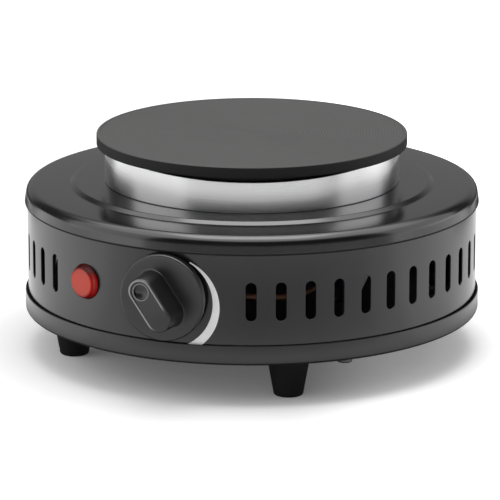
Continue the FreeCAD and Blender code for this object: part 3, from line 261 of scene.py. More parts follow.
# %% Brushed lines
brush, entry, leave = new_group("brushed_lines", {"Along": 15, "Across": 2500}, ["Height", "Mask"])
along, across = entry.outputs["Along"], entry.outputs["Across"]
stretch = add_node(brush, "CombineXYZ", X=along, Y=along, Z=across).outputs[0]
lines = add_node(brush, "VectorMath", {"operation": "MULTIPLY"}, i0=object_places(brush), i1=stretch)
streak = add_node(brush, "TexNoise", Vector=lines.outputs[0], Scale=1.0, Detail=4.0, Roughness=0.7)
brush.links.new(streak.outputs["Fac"], leave.inputs["Height"])
brush.links.new(mapped(brush, streak.outputs["Fac"], 0.3, 0.7), leave.inputs["Mask"])
print(brush.name, "has", len(brush.nodes), "nodes")

# %% Turned lines
rings, entry, leave = new_group("turned_lines", {"Lines": 2600}, ["Height", "Mask"])
parts = add_node(rings, "SeparateXYZ", Vector=object_places(rings))
flat = add_node(rings, "CombineXYZ", X=parts.outputs["X"], Y=parts.outputs["Y"])
radius = add_node(rings, "VectorMath", {"operation": "LENGTH"}, i0=flat.outputs[0])
ring_place = reckon(rings, "MULTIPLY", radius.outputs["Value"], entry.outputs["Lines"])
wobble = add_node(rings, "TexNoise", {"noise_dimensions": "1D"}, W=ring_place, Scale=1.0, Detail=3.0)
rings.links.new(wobble.outputs["Fac"], leave.inputs["Height"])
rings.links.new(wobble.outputs["Fac"], leave.inputs["Mask"])
print(rings.name, "has", len(rings.nodes), "nodes")

# %% [markdown]
# ## The finishes
# A finish is one Principled shader. A colour ramp spreads the group's mask over two close colours, a map
# range spreads it over two roughness values, and a Bump node gives the grain its height. The constant
# values, such as metal or coat, are set on the shader itself.

# %% A finish
RELIEF = 0.2 * MM


def finish(name, group, values, dark, light, rough, bump, metal=0.0, **sockets):
    """A material whose colour and roughness follow a group's mask and whose bump follows its height."""
    material = bpy.data.materials.new(name)
    material.use_nodes = True
    tree = material.node_tree
    shader = tree.nodes["Principled BSDF"]
    effect = add_node(tree, "Group", {"node_tree": group}, **values)
    mask = effect.outputs["Mask"]
    spread = add_node(tree, "MapRange", Value=mask)
    spread.inputs["To Min"].default_value, spread.inputs["To Max"].default_value = rough
    relief = add_node(tree, "Bump", Height=effect.outputs["Height"], Strength=bump, Distance=RELIEF)
    tree.links.new(ramp_of(tree, mask, [(0, dark), (1, light)]), shader.inputs["Base Color"])
    tree.links.new(spread.outputs["Result"], shader.inputs["Roughness"])
    tree.links.new(relief.outputs["Normal"], shader.inputs["Normal"])
    shader.inputs["Metallic"].default_value = metal
    for label, value in sockets.items():
        shader.inputs[label.replace("_", " ")].default_value = value
    return material


# %% Finishes of the outside
satin_black = finish("satin_black", grain, {"Scale": 1400, "Patches": 25}, (0.005, 0.005, 0.0053),
                     (0.009, 0.009, 0.0094), (0.15, 0.20), 0.03, Specular_IOR_Level=1.0)
turned_iron = finish("turned_iron", rings, {"Lines": 2600}, (0.052, 0.052, 0.051), (0.102, 0.102, 0.101),
                     (0.45, 0.62), 0.25, Specular_IOR_Level=0.35)
polished_band = finish("polished_band", brush, {"Along": 12, "Across": 2600}, (0.88, 0.88, 0.89),
                       (0.93, 0.93, 0.94), (0.27, 0.30), 0.006, metal=1.0, Anisotropic=0.7,
                       Anisotropic_Rotation=0.25)
foot_rubber = finish("matt_rubber", grain, {"Scale": 1800, "Patches": 60}, (0.008, 0.008, 0.008),
                     (0.014, 0.014, 0.014), (0.55, 0.75), 0.25, Specular_IOR_Level=0.25)
knob_black = finish("knob_black", grain, {"Scale": 2200, "Patches": 40}, (0.007, 0.007, 0.0072),
                    (0.010, 0.010, 0.0103), (0.27, 0.34), 0.06, Specular_IOR_Level=1.0)
gland_black = finish("gland_black", grain, {"Scale": 1500, "Patches": 60}, (0.010, 0.010, 0.010),
                     (0.018, 0.018, 0.018), (0.45, 0.60), 0.15, Specular_IOR_Level=0.3)
mark_grey = finish("mark_grey", grain, {"Scale": 2500, "Patches": 120}, (0.84, 0.84, 0.84),
                   (0.92, 0.92, 0.92), (0.50, 0.62), 0.05, Specular_IOR_Level=0.2)
lens_red = finish("lens_red", grain, {"Scale": 2600, "Patches": 500}, (0.30, 0.006, 0.006),
                  (0.42, 0.012, 0.010), (0.30, 0.38), 0.08, Specular_IOR_Level=0.12, Coat_Weight=0.03)
print(len(bpy.data.materials), "materials for the outside")

# %% Finishes of the inside
zinc_plate = finish("zinc_plate", brush, {"Along": 60, "Across": 1500}, (0.20, 0.20, 0.19),
                    (0.30, 0.30, 0.285), (0.42, 0.56), 0.10, metal=1.0)
blued_steel = finish("blued_steel", brush, {"Along": 40, "Across": 1200}, (0.16, 0.17, 0.20),
                     (0.25, 0.26, 0.29), (0.30, 0.42), 0.08, metal=1.0)
bright_sheet = finish("bright_sheet", brush, {"Along": 20, "Across": 1800}, (0.58, 0.59, 0.60),
                      (0.70, 0.71, 0.72), (0.30, 0.45), 0.10, metal=1.0)
plain_brass = finish("plain_brass", brush, {"Along": 60, "Across": 1500}, (0.48, 0.30, 0.09),
                     (0.62, 0.42, 0.14), (0.28, 0.40), 0.08, metal=1.0)
silver_face = finish("silver_face", grain, {"Scale": 2500, "Patches": 300}, (0.62, 0.62, 0.61),
                     (0.72, 0.72, 0.71), (0.22, 0.34), 0.05, metal=1.0)
rolled_strip = finish("rolled_strip", brush, {"Along": 30, "Across": 1800}, (0.30, 0.25, 0.19),
                      (0.40, 0.34, 0.27), (0.32, 0.45), 0.08, metal=1.0)
bare_ceramic = finish("bare_ceramic", grain, {"Scale": 1200, "Patches": 90}, (0.40, 0.37, 0.31),
                      (0.52, 0.48, 0.41), (0.60, 0.80), 0.15, Specular_IOR_Level=0.4)
dull_wire = finish("dull_wire", grain, {"Scale": 1800, "Patches": 200}, (0.07, 0.065, 0.06),
                   (0.14, 0.13, 0.12), (0.50, 0.65), 0.30, metal=1.0)
brown_sleeving = finish("brown_sleeving", grain, {"Scale": 1600, "Patches": 120}, (0.13, 0.055, 0.028),
                        (0.20, 0.085, 0.042), (0.45, 0.60), 0.12)
blue_sleeving = finish("blue_sleeving", grain, {"Scale": 1600, "Patches": 120}, (0.005, 0.016, 0.075),
                       (0.010, 0.026, 0.11), (0.45, 0.60), 0.12)
green_sleeving = finish("green_sleeving", grain, {"Scale": 90, "Patches": 260}, (0.02, 0.10, 0.01),
                        (0.30, 0.25, 0.02), (0.45, 0.60), 0.05)
cream_plastic = finish("cream_plastic", grain, {"Scale": 1500, "Patches": 70}, (0.56, 0.53, 0.44),
                       (0.66, 0.63, 0.54), (0.40, 0.55), 0.10)
clear_bulb = finish("clear_bulb", grain, {"Scale": 700, "Patches": 150}, (0.90, 0.86, 0.80),
                    (0.97, 0.94, 0.90), (0.03, 0.07), 0.03, Transmission_Weight=0.9)
print(len(bpy.data.materials), "materials in all")

# %% [markdown]
# Some pieces change finish over their own surface. The lens is deep red on its sides, and a painted shade
# darkens them towards its top and bottom; it is pale on its face, with a painted reflection on a stretch of
# the face's edge and a painted highlight on a streak of the side. The black sheet turns near black and dull
# on its inside, on the pan's hem and on the base flange's cut edge: painted shade in the hollows and gaps.
# The plate's rim is darker than its top. The knob's lip and the ring round its pointer are a lighter grey,
# a painted highlight. The knob's lip and ring are greyer, as if worn, which is a guess: in the photograph
# this may be gloss, and so may the lens's lighter and darker places. A piece carries a number called share
# on each of its points, and the finish mixes its usual look with another one by that number.

# %% Finishes that change over a piece
LENS_LOW, LENS_HIGH = 45.2 * MM, 62.2 * MM
PALE_START = 0.8
# The colours by level are a painted shade that darkens the lens towards its top and bottom. They take
# the place of the two that follow the grain.
lens_tree = lens_red.node_tree
lens_level = add_node(lens_tree, "SeparateXYZ", Vector=object_places(lens_tree)).outputs["Z"]
lens_painted_shade = ramp_of(lens_tree, mapped(lens_tree, lens_level, LENS_LOW, LENS_HIGH), [
    (0.05, (0.08, 0.002, 0.002)), (0.28, (0.34, 0.005, 0.005)), (0.62, (0.40, 0.006, 0.006)),
    (0.85, (0.05, 0.001, 0.001))])
lens_tree.links.new(lens_painted_shade, lens_tree.nodes["Principled BSDF"].inputs["Base Color"])


def blend_by_share(material, colour, rough, pale=None):
    """Where the piece's own share is one, turn the finish to another colour and roughness.

    With a pale colour, the other colour turns on to that one over the last part of the share."""
    tree = material.node_tree
    base, gloss = (tree.nodes["Principled BSDF"].inputs[label] for label in ("Base Color", "Roughness"))
    share = add_node(tree, "Attribute", {"attribute_name": "share"}).outputs["Fac"]
    other = ramp_of(tree, share, [(PALE_START, colour), (1.0, pale)]) if pale else (*colour, 1)
    duller = add_node(tree, "Mix", i0=share, i2=gloss.links[0].from_socket, i3=rough)
    tree.links.new(mixed(tree, share, base.links[0].from_socket, other), base)
    tree.links.new(duller.outputs[0], gloss)


# The lens's face turns pale, and paler still under its painted reflection and painted highlight.
blend_by_share(lens_red, (0.46, 0.085, 0.062), 0.5, pale=(0.50, 0.24, 0.20))
# Painted shade: the black sheet's inside, the pan's hem and the base flange's cut edge turn near black and
# dull.
blend_by_share(satin_black, (0.0005, 0.0005, 0.0005), 1.0)
blend_by_share(turned_iron, (0.005, 0.005, 0.005), 0.62)
# Painted highlight: the knob's lip and ring turn a lighter grey.
blend_by_share(knob_black, (0.24, 0.24, 0.245), 0.3)
print("the lens changes colour between", LENS_LOW, "and", LENS_HIGH, "m")

# %% [markdown]
# ## The cast iron plate
# The top of the plate is turned on a lathe, and the tool leaves fine round grooves, about one and a half
# millimetres apart. A bump map could suggest them, but they show at the plate's left and right, so here
# they are real: the profile's height follows a cosine of the radius. The rim is thick, and its edge is just
# broken. The turned top is grey, and below its edge the plate keeps a darker coat.

# %% Hot plate
GROOVE_PITCH, GROOVE_DEPTH, GROOVE_STEPS = 1.5, 0.22, 4
PLATE_BODY, RIM_BAND, COAT_DEPTH, PLATE_COLUMNS = 70.5, 1.6, 0.5, 256
TOP_EDGE, RIM_EDGE, BODY_EDGE = 0.8, 0.4, 0.6
GROOVES_END = PLATE_RADIUS - RIM_BAND
groove_radius = np.arange(0, GROOVES_END, GROOVE_PITCH / GROOVE_STEPS)
groove_height = PLATE_TOP - GROOVE_DEPTH * (0.5 - 0.5 * np.cos(TURN * groove_radius / GROOVE_PITCH))
rim = rounded([
    (GROOVES_END, PLATE_TOP, 0), (PLATE_RADIUS, PLATE_TOP, TOP_EDGE), (PLATE_RADIUS, RIM_UNDER, RIM_EDGE),
    (PLATE_BODY, RIM_UNDER, 0), (PLATE_BODY, plate_low[2], BODY_EDGE), (0, plate_low[2], 0)])
plate_profile = np.concatenate([np.stack([groove_radius, groove_height], axis=1), rim])
coated = np.where(plate_profile[:, 1] < PLATE_TOP - COAT_DEPTH, 1.0, 0.0)
plate_faces = grid_faces(len(plate_profile), PLATE_COLUMNS)
make_piece("plate_turned", turned(plate_profile, PLATE_COLUMNS), plate_faces, turned_iron,
           ["hot_plate"], share=np.repeat(coated, PLATE_COLUMNS))

# %% [markdown]
# ## The bright collar
# A band of polished steel carries the plate. It is rolled from strip, so its brushing lines run round it.
# The section is a closed loop: a thin upright wall with a foot turned inwards and a small bend between
# them. At the front its upper edge dips a little, so a dark sliver of a gap shows under the plate's rim.

# %% Collar ring
SHEET = 0.8
COLLAR_FOOT, FOOT_BEND, CUT_EDGE = 4.0, 0.6, 0.2
GAP_DEPTH, GAP_MIDDLE, GAP_HALF = 2.9, 22.0, 78.0
collar_in, foot_in, foot_top = COLLAR_RADIUS - SHEET, COLLAR_RADIUS - COLLAR_FOOT, PLATFORM_TOP + SHEET
collar_section = rounded([
    (foot_in, PLATFORM_TOP, 0), (COLLAR_RADIUS, PLATFORM_TOP, FOOT_BEND),
    (COLLAR_RADIUS, RIM_UNDER, CUT_EDGE), (collar_in, RIM_UNDER, CUT_EDGE), (collar_in, foot_top, CUT_EDGE),
    (foot_in, foot_top, 0)])
collar_points = turned(collar_section)
# The dip is a squared cosine of the azimuth from the gap's middle, and it grows with the height in the band.
azimuth = np.degrees(np.arctan2(collar_points[..., 0], -collar_points[..., 1]))
height = np.clip((collar_points[..., 2] - PLATFORM_TOP) / (RIM_UNDER - PLATFORM_TOP), 0, 1)
dip = np.cos(np.clip((azimuth - GAP_MIDDLE) / GAP_HALF, -1, 1) * math.pi / 2) ** 2
collar_points[..., 2] -= GAP_DEPTH * height * dip
make_piece("collar_band", collar_points, grid_faces(len(collar_section), COLUMNS, True), polished_band,
           ["collar_ring"])

# %% [markdown]
# ## The top pan
# The pan is pressed from sheet: a flat platform round the collar, a soft step down, a wide rounded
# shoulder, and a skirt that leans out a little and hides the head of the wall. The lean matters to the
# look: the skirt mirrors the far floor, while an upright one would mirror the near floor as the wall does.
# The section loops along the outer face and back along the inner one. From the hem inwards the finish is
# near black and dull, a painted shade that darkens the skirt's lower edge and the pan's inside.

# %% Top pan
STEP_DROP, SKIRT_DROP, PAN_HOLE = 1.7, 0.7, 68.0
STEP_IN, STEP_OUT, HEM, BROW = 88.5, 91.0, 1.3, 4.5
STEP_ROUND, SHOULDER_ROUND, INNER_ROUND, HEM_ROUND = 1.6, 4.4, 3.6, 0.9
LEAN = math.tan(math.radians(8.1))
PAN_TOP, SKIRT_END = PLATFORM_TOP - STEP_DROP, pan_low[2] - SKIRT_DROP
PAN_INNER, SKIRT_RADIUS = PAN_RADIUS - SHEET, BASE_RADIUS
SHOULDER = SKIRT_RADIUS - (PAN_TOP - SKIRT_END) * LEAN
pan_section = rounded([
    (PAN_HOLE, PLATFORM_TOP, 0), (STEP_IN, PLATFORM_TOP, STEP_ROUND), (STEP_OUT, PAN_TOP, STEP_ROUND),
    (SHOULDER, PAN_TOP, SHOULDER_ROUND), (SKIRT_RADIUS - BROW * LEAN, SKIRT_END + BROW, 0),
    (SKIRT_RADIUS - HEM * LEAN, SKIRT_END + HEM, 0), (SKIRT_RADIUS, SKIRT_END, HEM_ROUND),
    (PAN_INNER, SKIRT_END, 0), (PAN_INNER, PAN_TOP - SHEET, INNER_ROUND),
    (STEP_OUT, PAN_TOP - SHEET, STEP_ROUND), (STEP_IN, PLATFORM_TOP - SHEET, STEP_ROUND),
    (PAN_HOLE, PLATFORM_TOP - SHEET, 0)])
# From this row on, the section is the hem's round and the inner face.
HEM_ROW = 24
# These rows carry the painted shade, near black and dull.
painted_shade_rows = np.where(np.arange(len(pan_section)) >= HEM_ROW, 1.0, 0.0)
make_piece("pan_pressed", turned(pan_section), grid_faces(len(pan_section), COLUMNS, True), satin_black,
           ["top_pan"], share=np.repeat(painted_shade_rows, COLUMNS))

# %% [markdown]
# ## A pierced sheet
# The side wall and the floor of the base are sheets with rows of holes. A boolean would cut them, but it
# leaves long thin triangles that shade badly. Instead the sheet is divided into cells with one hole each.
# In a cell, rows of points run from the cell's border to the hole, over the hole's softened edge, through
# the sheet and back to the border on the other side. Each row is a straight mix of the hole's outline and
# the border's, and the exact normals are known, so they are stored with the mesh.

# %% Pierced sheet
EDGE, END_SHARE = 0.22, 0.3
MIXES = np.array([1, 0.75, 0.52, 0.32, 0.15, 0.05, 0])


def hole_outline(reach, wide, tall):
    """A slot's outline as unit directions and shifts along y, in four stretches that face a cell's sides."""
    corner = math.pi / 4
    low = np.linspace(-3 * corner, -corner, wide, endpoint=False)
    part = np.linspace(0, 1, tall, endpoint=False)
    share = END_SHARE if reach else 0.5
    right = corner * (np.clip(part / share, 0, 1) - 1 + np.clip((part - 1 + share) / share, 0, 1))
    rise = reach * np.clip((2 * part - 1) / (1 - 2 * share + 1e-9), -1, 1)
    angle = np.concatenate([low, right, low + math.pi, right + math.pi])
    shift = np.concatenate([0 * low - reach, rise, 0 * low + reach, -rise])
    return np.cos(angle), np.sin(angle), shift


def rectangles(sides, wide, tall):
    """Borders of cells with sides (left, right, low, high), walked low, right, high and left."""
    left, right, low, high = (column[:, None] for column in np.array(sides, float).T)
    u, v = np.linspace(0, 1, wide, endpoint=False), np.linspace(0, 1, tall, endpoint=False)
    x = [left + (right - left) * u, right + 0 * v, right - (right - left) * u, left + 0 * v]
    y = [low + 0 * u, low + (high - low) * v, high + 0 * u, high - (high - low) * v]
    return np.concatenate(x, axis=1), np.concatenate(y, axis=1)


def pierced(border, hole, reach, radius, thickness, wide, tall):
    """Cells of a flat sheet with one slot each: points (x, y, depth), their normals, and faces.

    A row mixes the slot's outline with the border's, (1 - m) slot + m border. Between the sheet's two faces
    the rows go round the slot's softened edge."""
    bend = np.linspace(0, math.pi / 2, 4)
    grow = np.concatenate([0 * MIXES + 1, 1 - np.sin(bend[1:]), 1 - np.cos(bend[:-1]), 0 * MIXES + 1]) * EDGE
    deep = np.concatenate([0 * MIXES, EDGE * (1 - np.cos(bend[1:])),
                           thickness - EDGE * (1 - np.sin(bend[:-1])), 0 * MIXES + thickness])
    lean = np.concatenate([0 * MIXES, bend[1:], math.pi / 2 + bend[:-1], 0 * MIXES + math.pi])
    mix = np.concatenate([MIXES, 0 * bend[1:], 0 * bend[1:], MIXES[::-1]])
    grow, deep, lean, mix = (value[None, :, None] for value in (grow, deep, lean, mix))
    across, up, shift = hole_outline(reach, wide, tall)
    hole_x, hole_y = (np.array(hole, float)[:, index, None, None] for index in (0, 1))
    x = (1 - mix) * (hole_x + (radius + grow) * across) + mix * border[0][:, None]
    y = (1 - mix) * (hole_y + (radius + grow) * up + shift) + mix * border[1][:, None]
    points = np.stack(np.broadcast_arrays(x, y, deep), axis=-1)
    facing = np.broadcast_arrays(-np.sin(lean) * across, -np.sin(lean) * up, -np.cos(lean), x)[:3]
    cells, rows, columns = x.shape
    offsets = (np.arange(cells) * rows * columns)[:, None, None]
    return points, np.stack(facing, axis=-1), (grid_faces(rows, columns)[None] + offsets).reshape(-1, 4)


def border_strip(shape, wide, tall):
    """Quads that close the sheet's thickness along the low and high borders of every cell."""
    cells, rows, columns = shape[:3]
    start = np.concatenate([np.arange(wide), np.arange(wide) + wide + tall])
    cell = (np.arange(cells) * rows * columns)[:, None]
    first, step, back = cell + start, cell + (start + 1) % columns, (rows - 1) * columns
    return np.stack([first, step, step + back, first + back], axis=-1).reshape(-1, 4)


# %% [markdown]
# ## The slotted wall
# The wall is a rolled strip with upright vent slots, twenty-one to the right of the knob and nineteen to
# the left. The cells are laid out flat, along the developed wall, and then wrapped: the distance along the
# strip divided by the radius is the azimuth. Three wider cells hold the lamp, the knob's shaft and the cord
# gland.

# %% Side wall
DEGREE = WALL_RADIUS * math.pi / 180
HEAD_DROP = 3.0
WALL_HEAD = wall_high[2] - HEAD_DROP
SLOT_PITCH, RIGHT_START, RIGHT_SLOTS, LEFT_START, LEFT_SLOTS = 7.3469, 21.3, 21, -37.3, 19
SLOT_LEVEL, SLOT_RADIUS, SLOT_REACH = 52.45, 2.6, 6.85
CONTROL_LEVEL, LAMP_AZIMUTH, GLAND_LEVEL = 53.7, -24.1, 45.0
LAMP_HOLE, SHAFT_HOLE, GLAND_HOLE, CELL_SPLIT = 6.2, 4.5, 7.6, -14.5


def wrap(points, normals):
    """Roll the flat strip into the wall: azimuth = x / R, radius = R - depth, z = y."""
    swing, out = points[..., 0] / WALL_RADIUS, WALL_RADIUS - points[..., 2]
    rolled = np.stack([out * np.sin(swing), -out * np.cos(swing), points[..., 1]], axis=-1)
    along, up, outward = normals[..., 0], normals[..., 1], -normals[..., 2]
    facing = np.stack([along * np.cos(swing) + outward * np.sin(swing),
                       along * np.sin(swing) - outward * np.cos(swing), up], axis=-1)
    return rolled.reshape(-1, 3), facing.reshape(-1, 3)


def wall_batch(edges, holes, reach, radius, wide, tall=20):
    """Cells between azimuths, each with a slot or round hole, rolled into the wall."""
    sides = [(low * DEGREE, high * DEGREE, wall_low[2], WALL_HEAD) for low, high in edges]
    places = [(azimuth * DEGREE, level) for azimuth, level in holes]
    points, normals, faces = pierced(rectangles(sides, wide, tall), places, reach, radius, SHEET, wide, tall)
    # The inside face takes the painted shade, near black and dull, that shows through the slots.
    inside = (points[..., 2] > SHEET / 2).astype(float).reshape(-1)
    return *wrap(points, normals), np.concatenate([faces, border_strip(points.shape, wide, tall)]), inside


slot_azimuths = np.concatenate([RIGHT_START + SLOT_PITCH * np.arange(RIGHT_SLOTS),
                                LEFT_START - SLOT_PITCH * np.arange(LEFT_SLOTS)])
half = SLOT_PITCH / 2
front_left, front_right = LEFT_START + half, RIGHT_START - half
back_right, back_left = slot_azimuths[RIGHT_SLOTS - 1] + half, slot_azimuths[-1] - half + 360
batches = [
    wall_batch([(a - half, a + half) for a in slot_azimuths], [(a, SLOT_LEVEL) for a in slot_azimuths],
               SLOT_REACH, SLOT_RADIUS, wide=6),
    wall_batch([(front_left, CELL_SPLIT)], [(LAMP_AZIMUTH, CONTROL_LEVEL)], 0, LAMP_HOLE, wide=28),
    wall_batch([(CELL_SPLIT, front_right)], [(0, CONTROL_LEVEL)], 0, SHAFT_HOLE, wide=40),
    wall_batch([(back_right, back_left)], [(180, GLAND_LEVEL)], 0, GLAND_HOLE, wide=28)]
wall_points, wall_normals, wall_faces, wall_inside = zip(*batches)
starts = np.cumsum([0] + [len(points) for points in wall_points])
wall_faces = np.concatenate([faces + start for faces, start in zip(wall_faces, starts)])
make_piece("wall_slotted", np.concatenate(wall_points), wall_faces, satin_black, ["side_wall"],
           normals=np.concatenate(wall_normals), share=np.concatenate(wall_inside))

# %% [markdown]
# ## The base pan
# The base is a shallow pressed dish. Its upright flange stands just outside the wall, so a thin dark gap
# runs round between them, and the floor rises a little towards the flange. Six vents are cut in the floor,
# so the floor is a ring of pierced cells again. The middle disc and the flange are turned with the same
# number of columns, and all three weld into one sheet. Its inside and the flange's cut edge are near black
# and dull, a painted shade, as the wall's inside is.

# %% Base pan
VENT_COUNT, VENT_CIRCLE, VENT_RADIUS, VENT_REACH = 6, 50.0, 2.5, 8.5
CELL_IN, CELL_OUT, CELL_WIDE = 24.0, 78.0, 8
BASE_INNER, FLOOR = BASE_RADIUS - SHEET, BASE_UNDER + SHEET
per_cell = COLUMNS // VENT_COUNT
half_cell = math.pi / VENT_COUNT
reach_out, around = rectangles([(CELL_IN, CELL_OUT, -half_cell, half_cell)], CELL_WIDE, per_cell)
border = reach_out * np.cos(around), reach_out * np.sin(around)
cell, _, cell_faces = pierced(border, [(VENT_CIRCLE, 0)], VENT_REACH, VENT_RADIUS, SHEET, CELL_WIDE, per_cell)
swing = (np.arange(VENT_COUNT) * 2 * half_cell)[:, None, None, None]
cell_x, cell_y = cell[..., 0], cell[..., 1]
vent_floor = np.stack(np.broadcast_arrays(cell_x * np.sin(swing) + cell_y * np.cos(swing),
                                          cell_y * np.sin(swing) - cell_x * np.cos(swing),
                                          FLOOR - cell[..., 2]), axis=-1).reshape(-1, 3)
vent_faces = (cell_faces + (np.arange(VENT_COUNT) * cell_x.size)[:, None, None]).reshape(-1, 4)
print(VENT_COUNT, "vents in", len(vent_faces), "faces")

# %% Flange and middle of the base
FLANGE_DROP, EDGE_RISE, RISE_START = 0.8, 1.2, 104.0
RISE_ROUND, INNER_BEND, FLANGE_ROUND, FLANGE_CUT = 3.0, 0.6, 1.4, 0.3
FLOOR_SLACK, WALL_SLACK, CUT_SLACK = 0.2, 0.05, 0.15
FLANGE_END, FLANGE_EDGE = FLANGE_TOP - FLANGE_DROP, BASE_UNDER + EDGE_RISE
dish = turned(rounded([
    (CELL_OUT, FLOOR, 0), (RISE_START, FLOOR, RISE_ROUND), (BASE_INNER, FLANGE_EDGE + SHEET, INNER_BEND),
    (BASE_INNER, FLANGE_END, FLANGE_CUT), (BASE_RADIUS, FLANGE_END, FLANGE_CUT),
    (BASE_RADIUS, FLANGE_EDGE, FLANGE_ROUND), (RISE_START, BASE_UNDER, RISE_ROUND),
    (CELL_OUT, BASE_UNDER, 0)], steps=9))
disc_top = turned(np.array([(0, FLOOR), (CELL_IN, FLOOR)]))
disc_under = turned(np.array([(CELL_IN, BASE_UNDER), (0, BASE_UNDER)]))
sheets = [dish, disc_top, disc_under]
base_faces, count = [vent_faces], len(vent_floor)
for sheet in sheets:
    base_faces.append(grid_faces(len(sheet), COLUMNS) + count)
    count += sheet.size // 3
base_points = np.concatenate([vent_floor] + [sheet.reshape(-1, 3) for sheet in sheets])
base_reach, base_level = np.hypot(*base_points[:, :2].T), base_points[:, 2]
# Painted shade on the dish's inside and on the flange's cut edge, near black and dull.
inside = (base_level > FLOOR - FLOOR_SLACK) & (base_reach < BASE_INNER + WALL_SLACK)
on_cut = base_level > FLANGE_END - CUT_SLACK
make_piece("base_pressed", base_points, np.concatenate(base_faces), satin_black, ["base_pan"],
           share=(inside | on_cut).astype(float))

# %% [markdown]
# ## Four feet
# The feet are tapered rubber, moulded with a deep hole underneath that hides a screw. They are one turned
# section, placed four times at equal steps round the body.

# %% Feet
FOOT_COUNT, FOOT_CIRCLE, FOOT_ANGLE, FOOT_COLUMNS = 4, 90.6, 32.75, 64
SCREW_HOLE, HOLE_TOP, FOOT_END, FOOT_HEAD = 4.2, 12.2, 7.1, 10.7
HOLE_EDGE, END_ROUND, HEAD_EDGE = 0.3, 1.3, 0.2
foot_section = rounded([
    (0, HOLE_TOP, 0), (SCREW_HOLE, HOLE_TOP, HOLE_EDGE), (SCREW_HOLE, 0, HOLE_EDGE), (FOOT_END, 0, END_ROUND),
    (FOOT_HEAD, BASE_UNDER, HEAD_EDGE), (0, BASE_UNDER, 0)])
foot_faces = grid_faces(len(foot_section), FOOT_COLUMNS)
for index in range(FOOT_COUNT):
    azimuth = math.radians(FOOT_ANGLE + 360 / FOOT_COUNT * index)
    middle = np.array([FOOT_CIRCLE * math.sin(azimuth), -FOOT_CIRCLE * math.cos(azimuth), 0])
    make_piece(f"foot_moulded_{index + 1}", turned(foot_section, FOOT_COLUMNS) + middle, foot_faces,
               foot_rubber, [f"foot_{index + 1}"])

# %% [markdown]
# ## The knob
# The knob is one moulding: a round skirt, and a long grip with round ends that rises from it. One grid
# covers it from the middle of its back to the bottom of its pointer dimple. Each row is an outline at a
# distance from the body's axis. The outlines change from circles to slots with round ends and back to
# circles, and since every outline has the same number of points, the rows join up smoothly. The grip's face
# slopes towards the pointer, which leaves a thin lip round that end.

# %% Knob outlines
KNOB_BACK, KNOB_FRONT, GRIP_FRONT, KNOB_RADIUS = 114.3, 117.8, 133.0, 21.3
GRIP_HALF, GRIP_STRAIGHT, DRAFT = 7.1, 7.9, math.tan(math.radians(3.4))
SLOPE_START, SLOPE, RAY_RADIUS = -6.0, math.tan(math.radians(3.0)), 8.7
POINTS = 288
step = np.linspace(0, 4 * GRIP_STRAIGHT + TURN * GRIP_HALF, POINTS, endpoint=False)
end = math.pi * GRIP_HALF
first = np.clip(step - GRIP_STRAIGHT, 0, end)
second = np.clip(step - 3 * GRIP_STRAIGHT - end, 0, end)
bearing = (first + second) / GRIP_HALF
grip_across, grip_up = np.cos(bearing), np.sin(bearing)
grip_shift = (np.clip(step, 0, GRIP_STRAIGHT) - np.clip(step - GRIP_STRAIGHT - end, 0, 2 * GRIP_STRAIGHT)
              + np.clip(step - 3 * GRIP_STRAIGHT - 2 * end, 0, GRIP_STRAIGHT))


def grip_row(radius, out):
    """A slot-shaped row: the point is radius times its direction, shifted along the straight side."""
    return np.stack([radius * grip_across, radius * grip_up + grip_shift, out + 0 * grip_shift], axis=-1)


def round_row(radius, out, middle=0.0, start=RAY_RADIUS):
    """A circle about (0, middle), with its points on the rays to the grip's outline."""
    ray = grip_row(start, 0)[:, :2] - np.array([0, middle])
    ray = radius * ray / np.linalg.norm(ray, axis=1, keepdims=True)
    return np.stack([ray[:, 0], ray[:, 1] + middle, out + 0 * grip_shift], axis=-1)


def sloped(row, rise=0.0):
    """Drop a row onto the grip's sloping face: it falls with y from a line across the grip."""
    slope = np.clip((row[:, 1] - SLOPE_START) * SLOPE, 0, None)
    return np.stack([row[:, 0], row[:, 1], GRIP_FRONT - slope + rise], axis=-1)


def between(start, end, count):
    """Rows spaced evenly between two rows, without the two."""
    return [start + (end - start) * share for share in np.linspace(0, 1, count + 2)[1:-1]]


print("a knob outline has", POINTS, "points")

# %% Knob
HOLLOW_FLOOR, HOLLOW_RADIUS, HOLLOW_MOUTH, BACK_EDGE = KNOB_FRONT - 1.8, 19.4, 19.5, 0.2
SKIRT_ROUND, FILLET, GRIP_ROUND, LIP, LIP_EDGE = 0.8, 0.4, 0.7, 1.1, 0.12
POINTER, RING, KNOB_BEARING = 7.6, 4.45, 35
LIP_HIGHLIGHT_LEFT, LIP_HIGHLIGHT_RIGHT, LIP_HIGHLIGHT_FADE, RING_HIGHLIGHT = 11.5, 6.5, 3.0, 0.5
GRIP_TOP = GRIP_HALF - (GRIP_FRONT - KNOB_FRONT) * DRAFT
FACE_RADIUS = GRIP_TOP - LIP
quarter = np.linspace(0, math.pi / 2, 6)
rows = [round_row(radius, out) for radius, out in (
    (0, HOLLOW_FLOOR), (HOLLOW_RADIUS, HOLLOW_FLOOR), (HOLLOW_MOUTH, KNOB_BACK),
    (KNOB_RADIUS - BACK_EDGE, KNOB_BACK), (KNOB_RADIUS, KNOB_BACK + BACK_EDGE))]
rows += [round_row(KNOB_RADIUS - SKIRT_ROUND + SKIRT_ROUND * math.cos(q),
                   KNOB_FRONT - SKIRT_ROUND + SKIRT_ROUND * math.sin(q)) for q in quarter]
rows += between(rows[-1], grip_row(GRIP_HALF + FILLET, KNOB_FRONT), 5)
rows += [grip_row(GRIP_HALF + FILLET * (1 - math.sin(q) * (1 + DRAFT)),
                  KNOB_FRONT + FILLET * (1 - math.cos(q))) for q in quarter]
rows += between(rows[-1], grip_row(GRIP_TOP + GRIP_ROUND * DRAFT, GRIP_FRONT - GRIP_ROUND), 4)
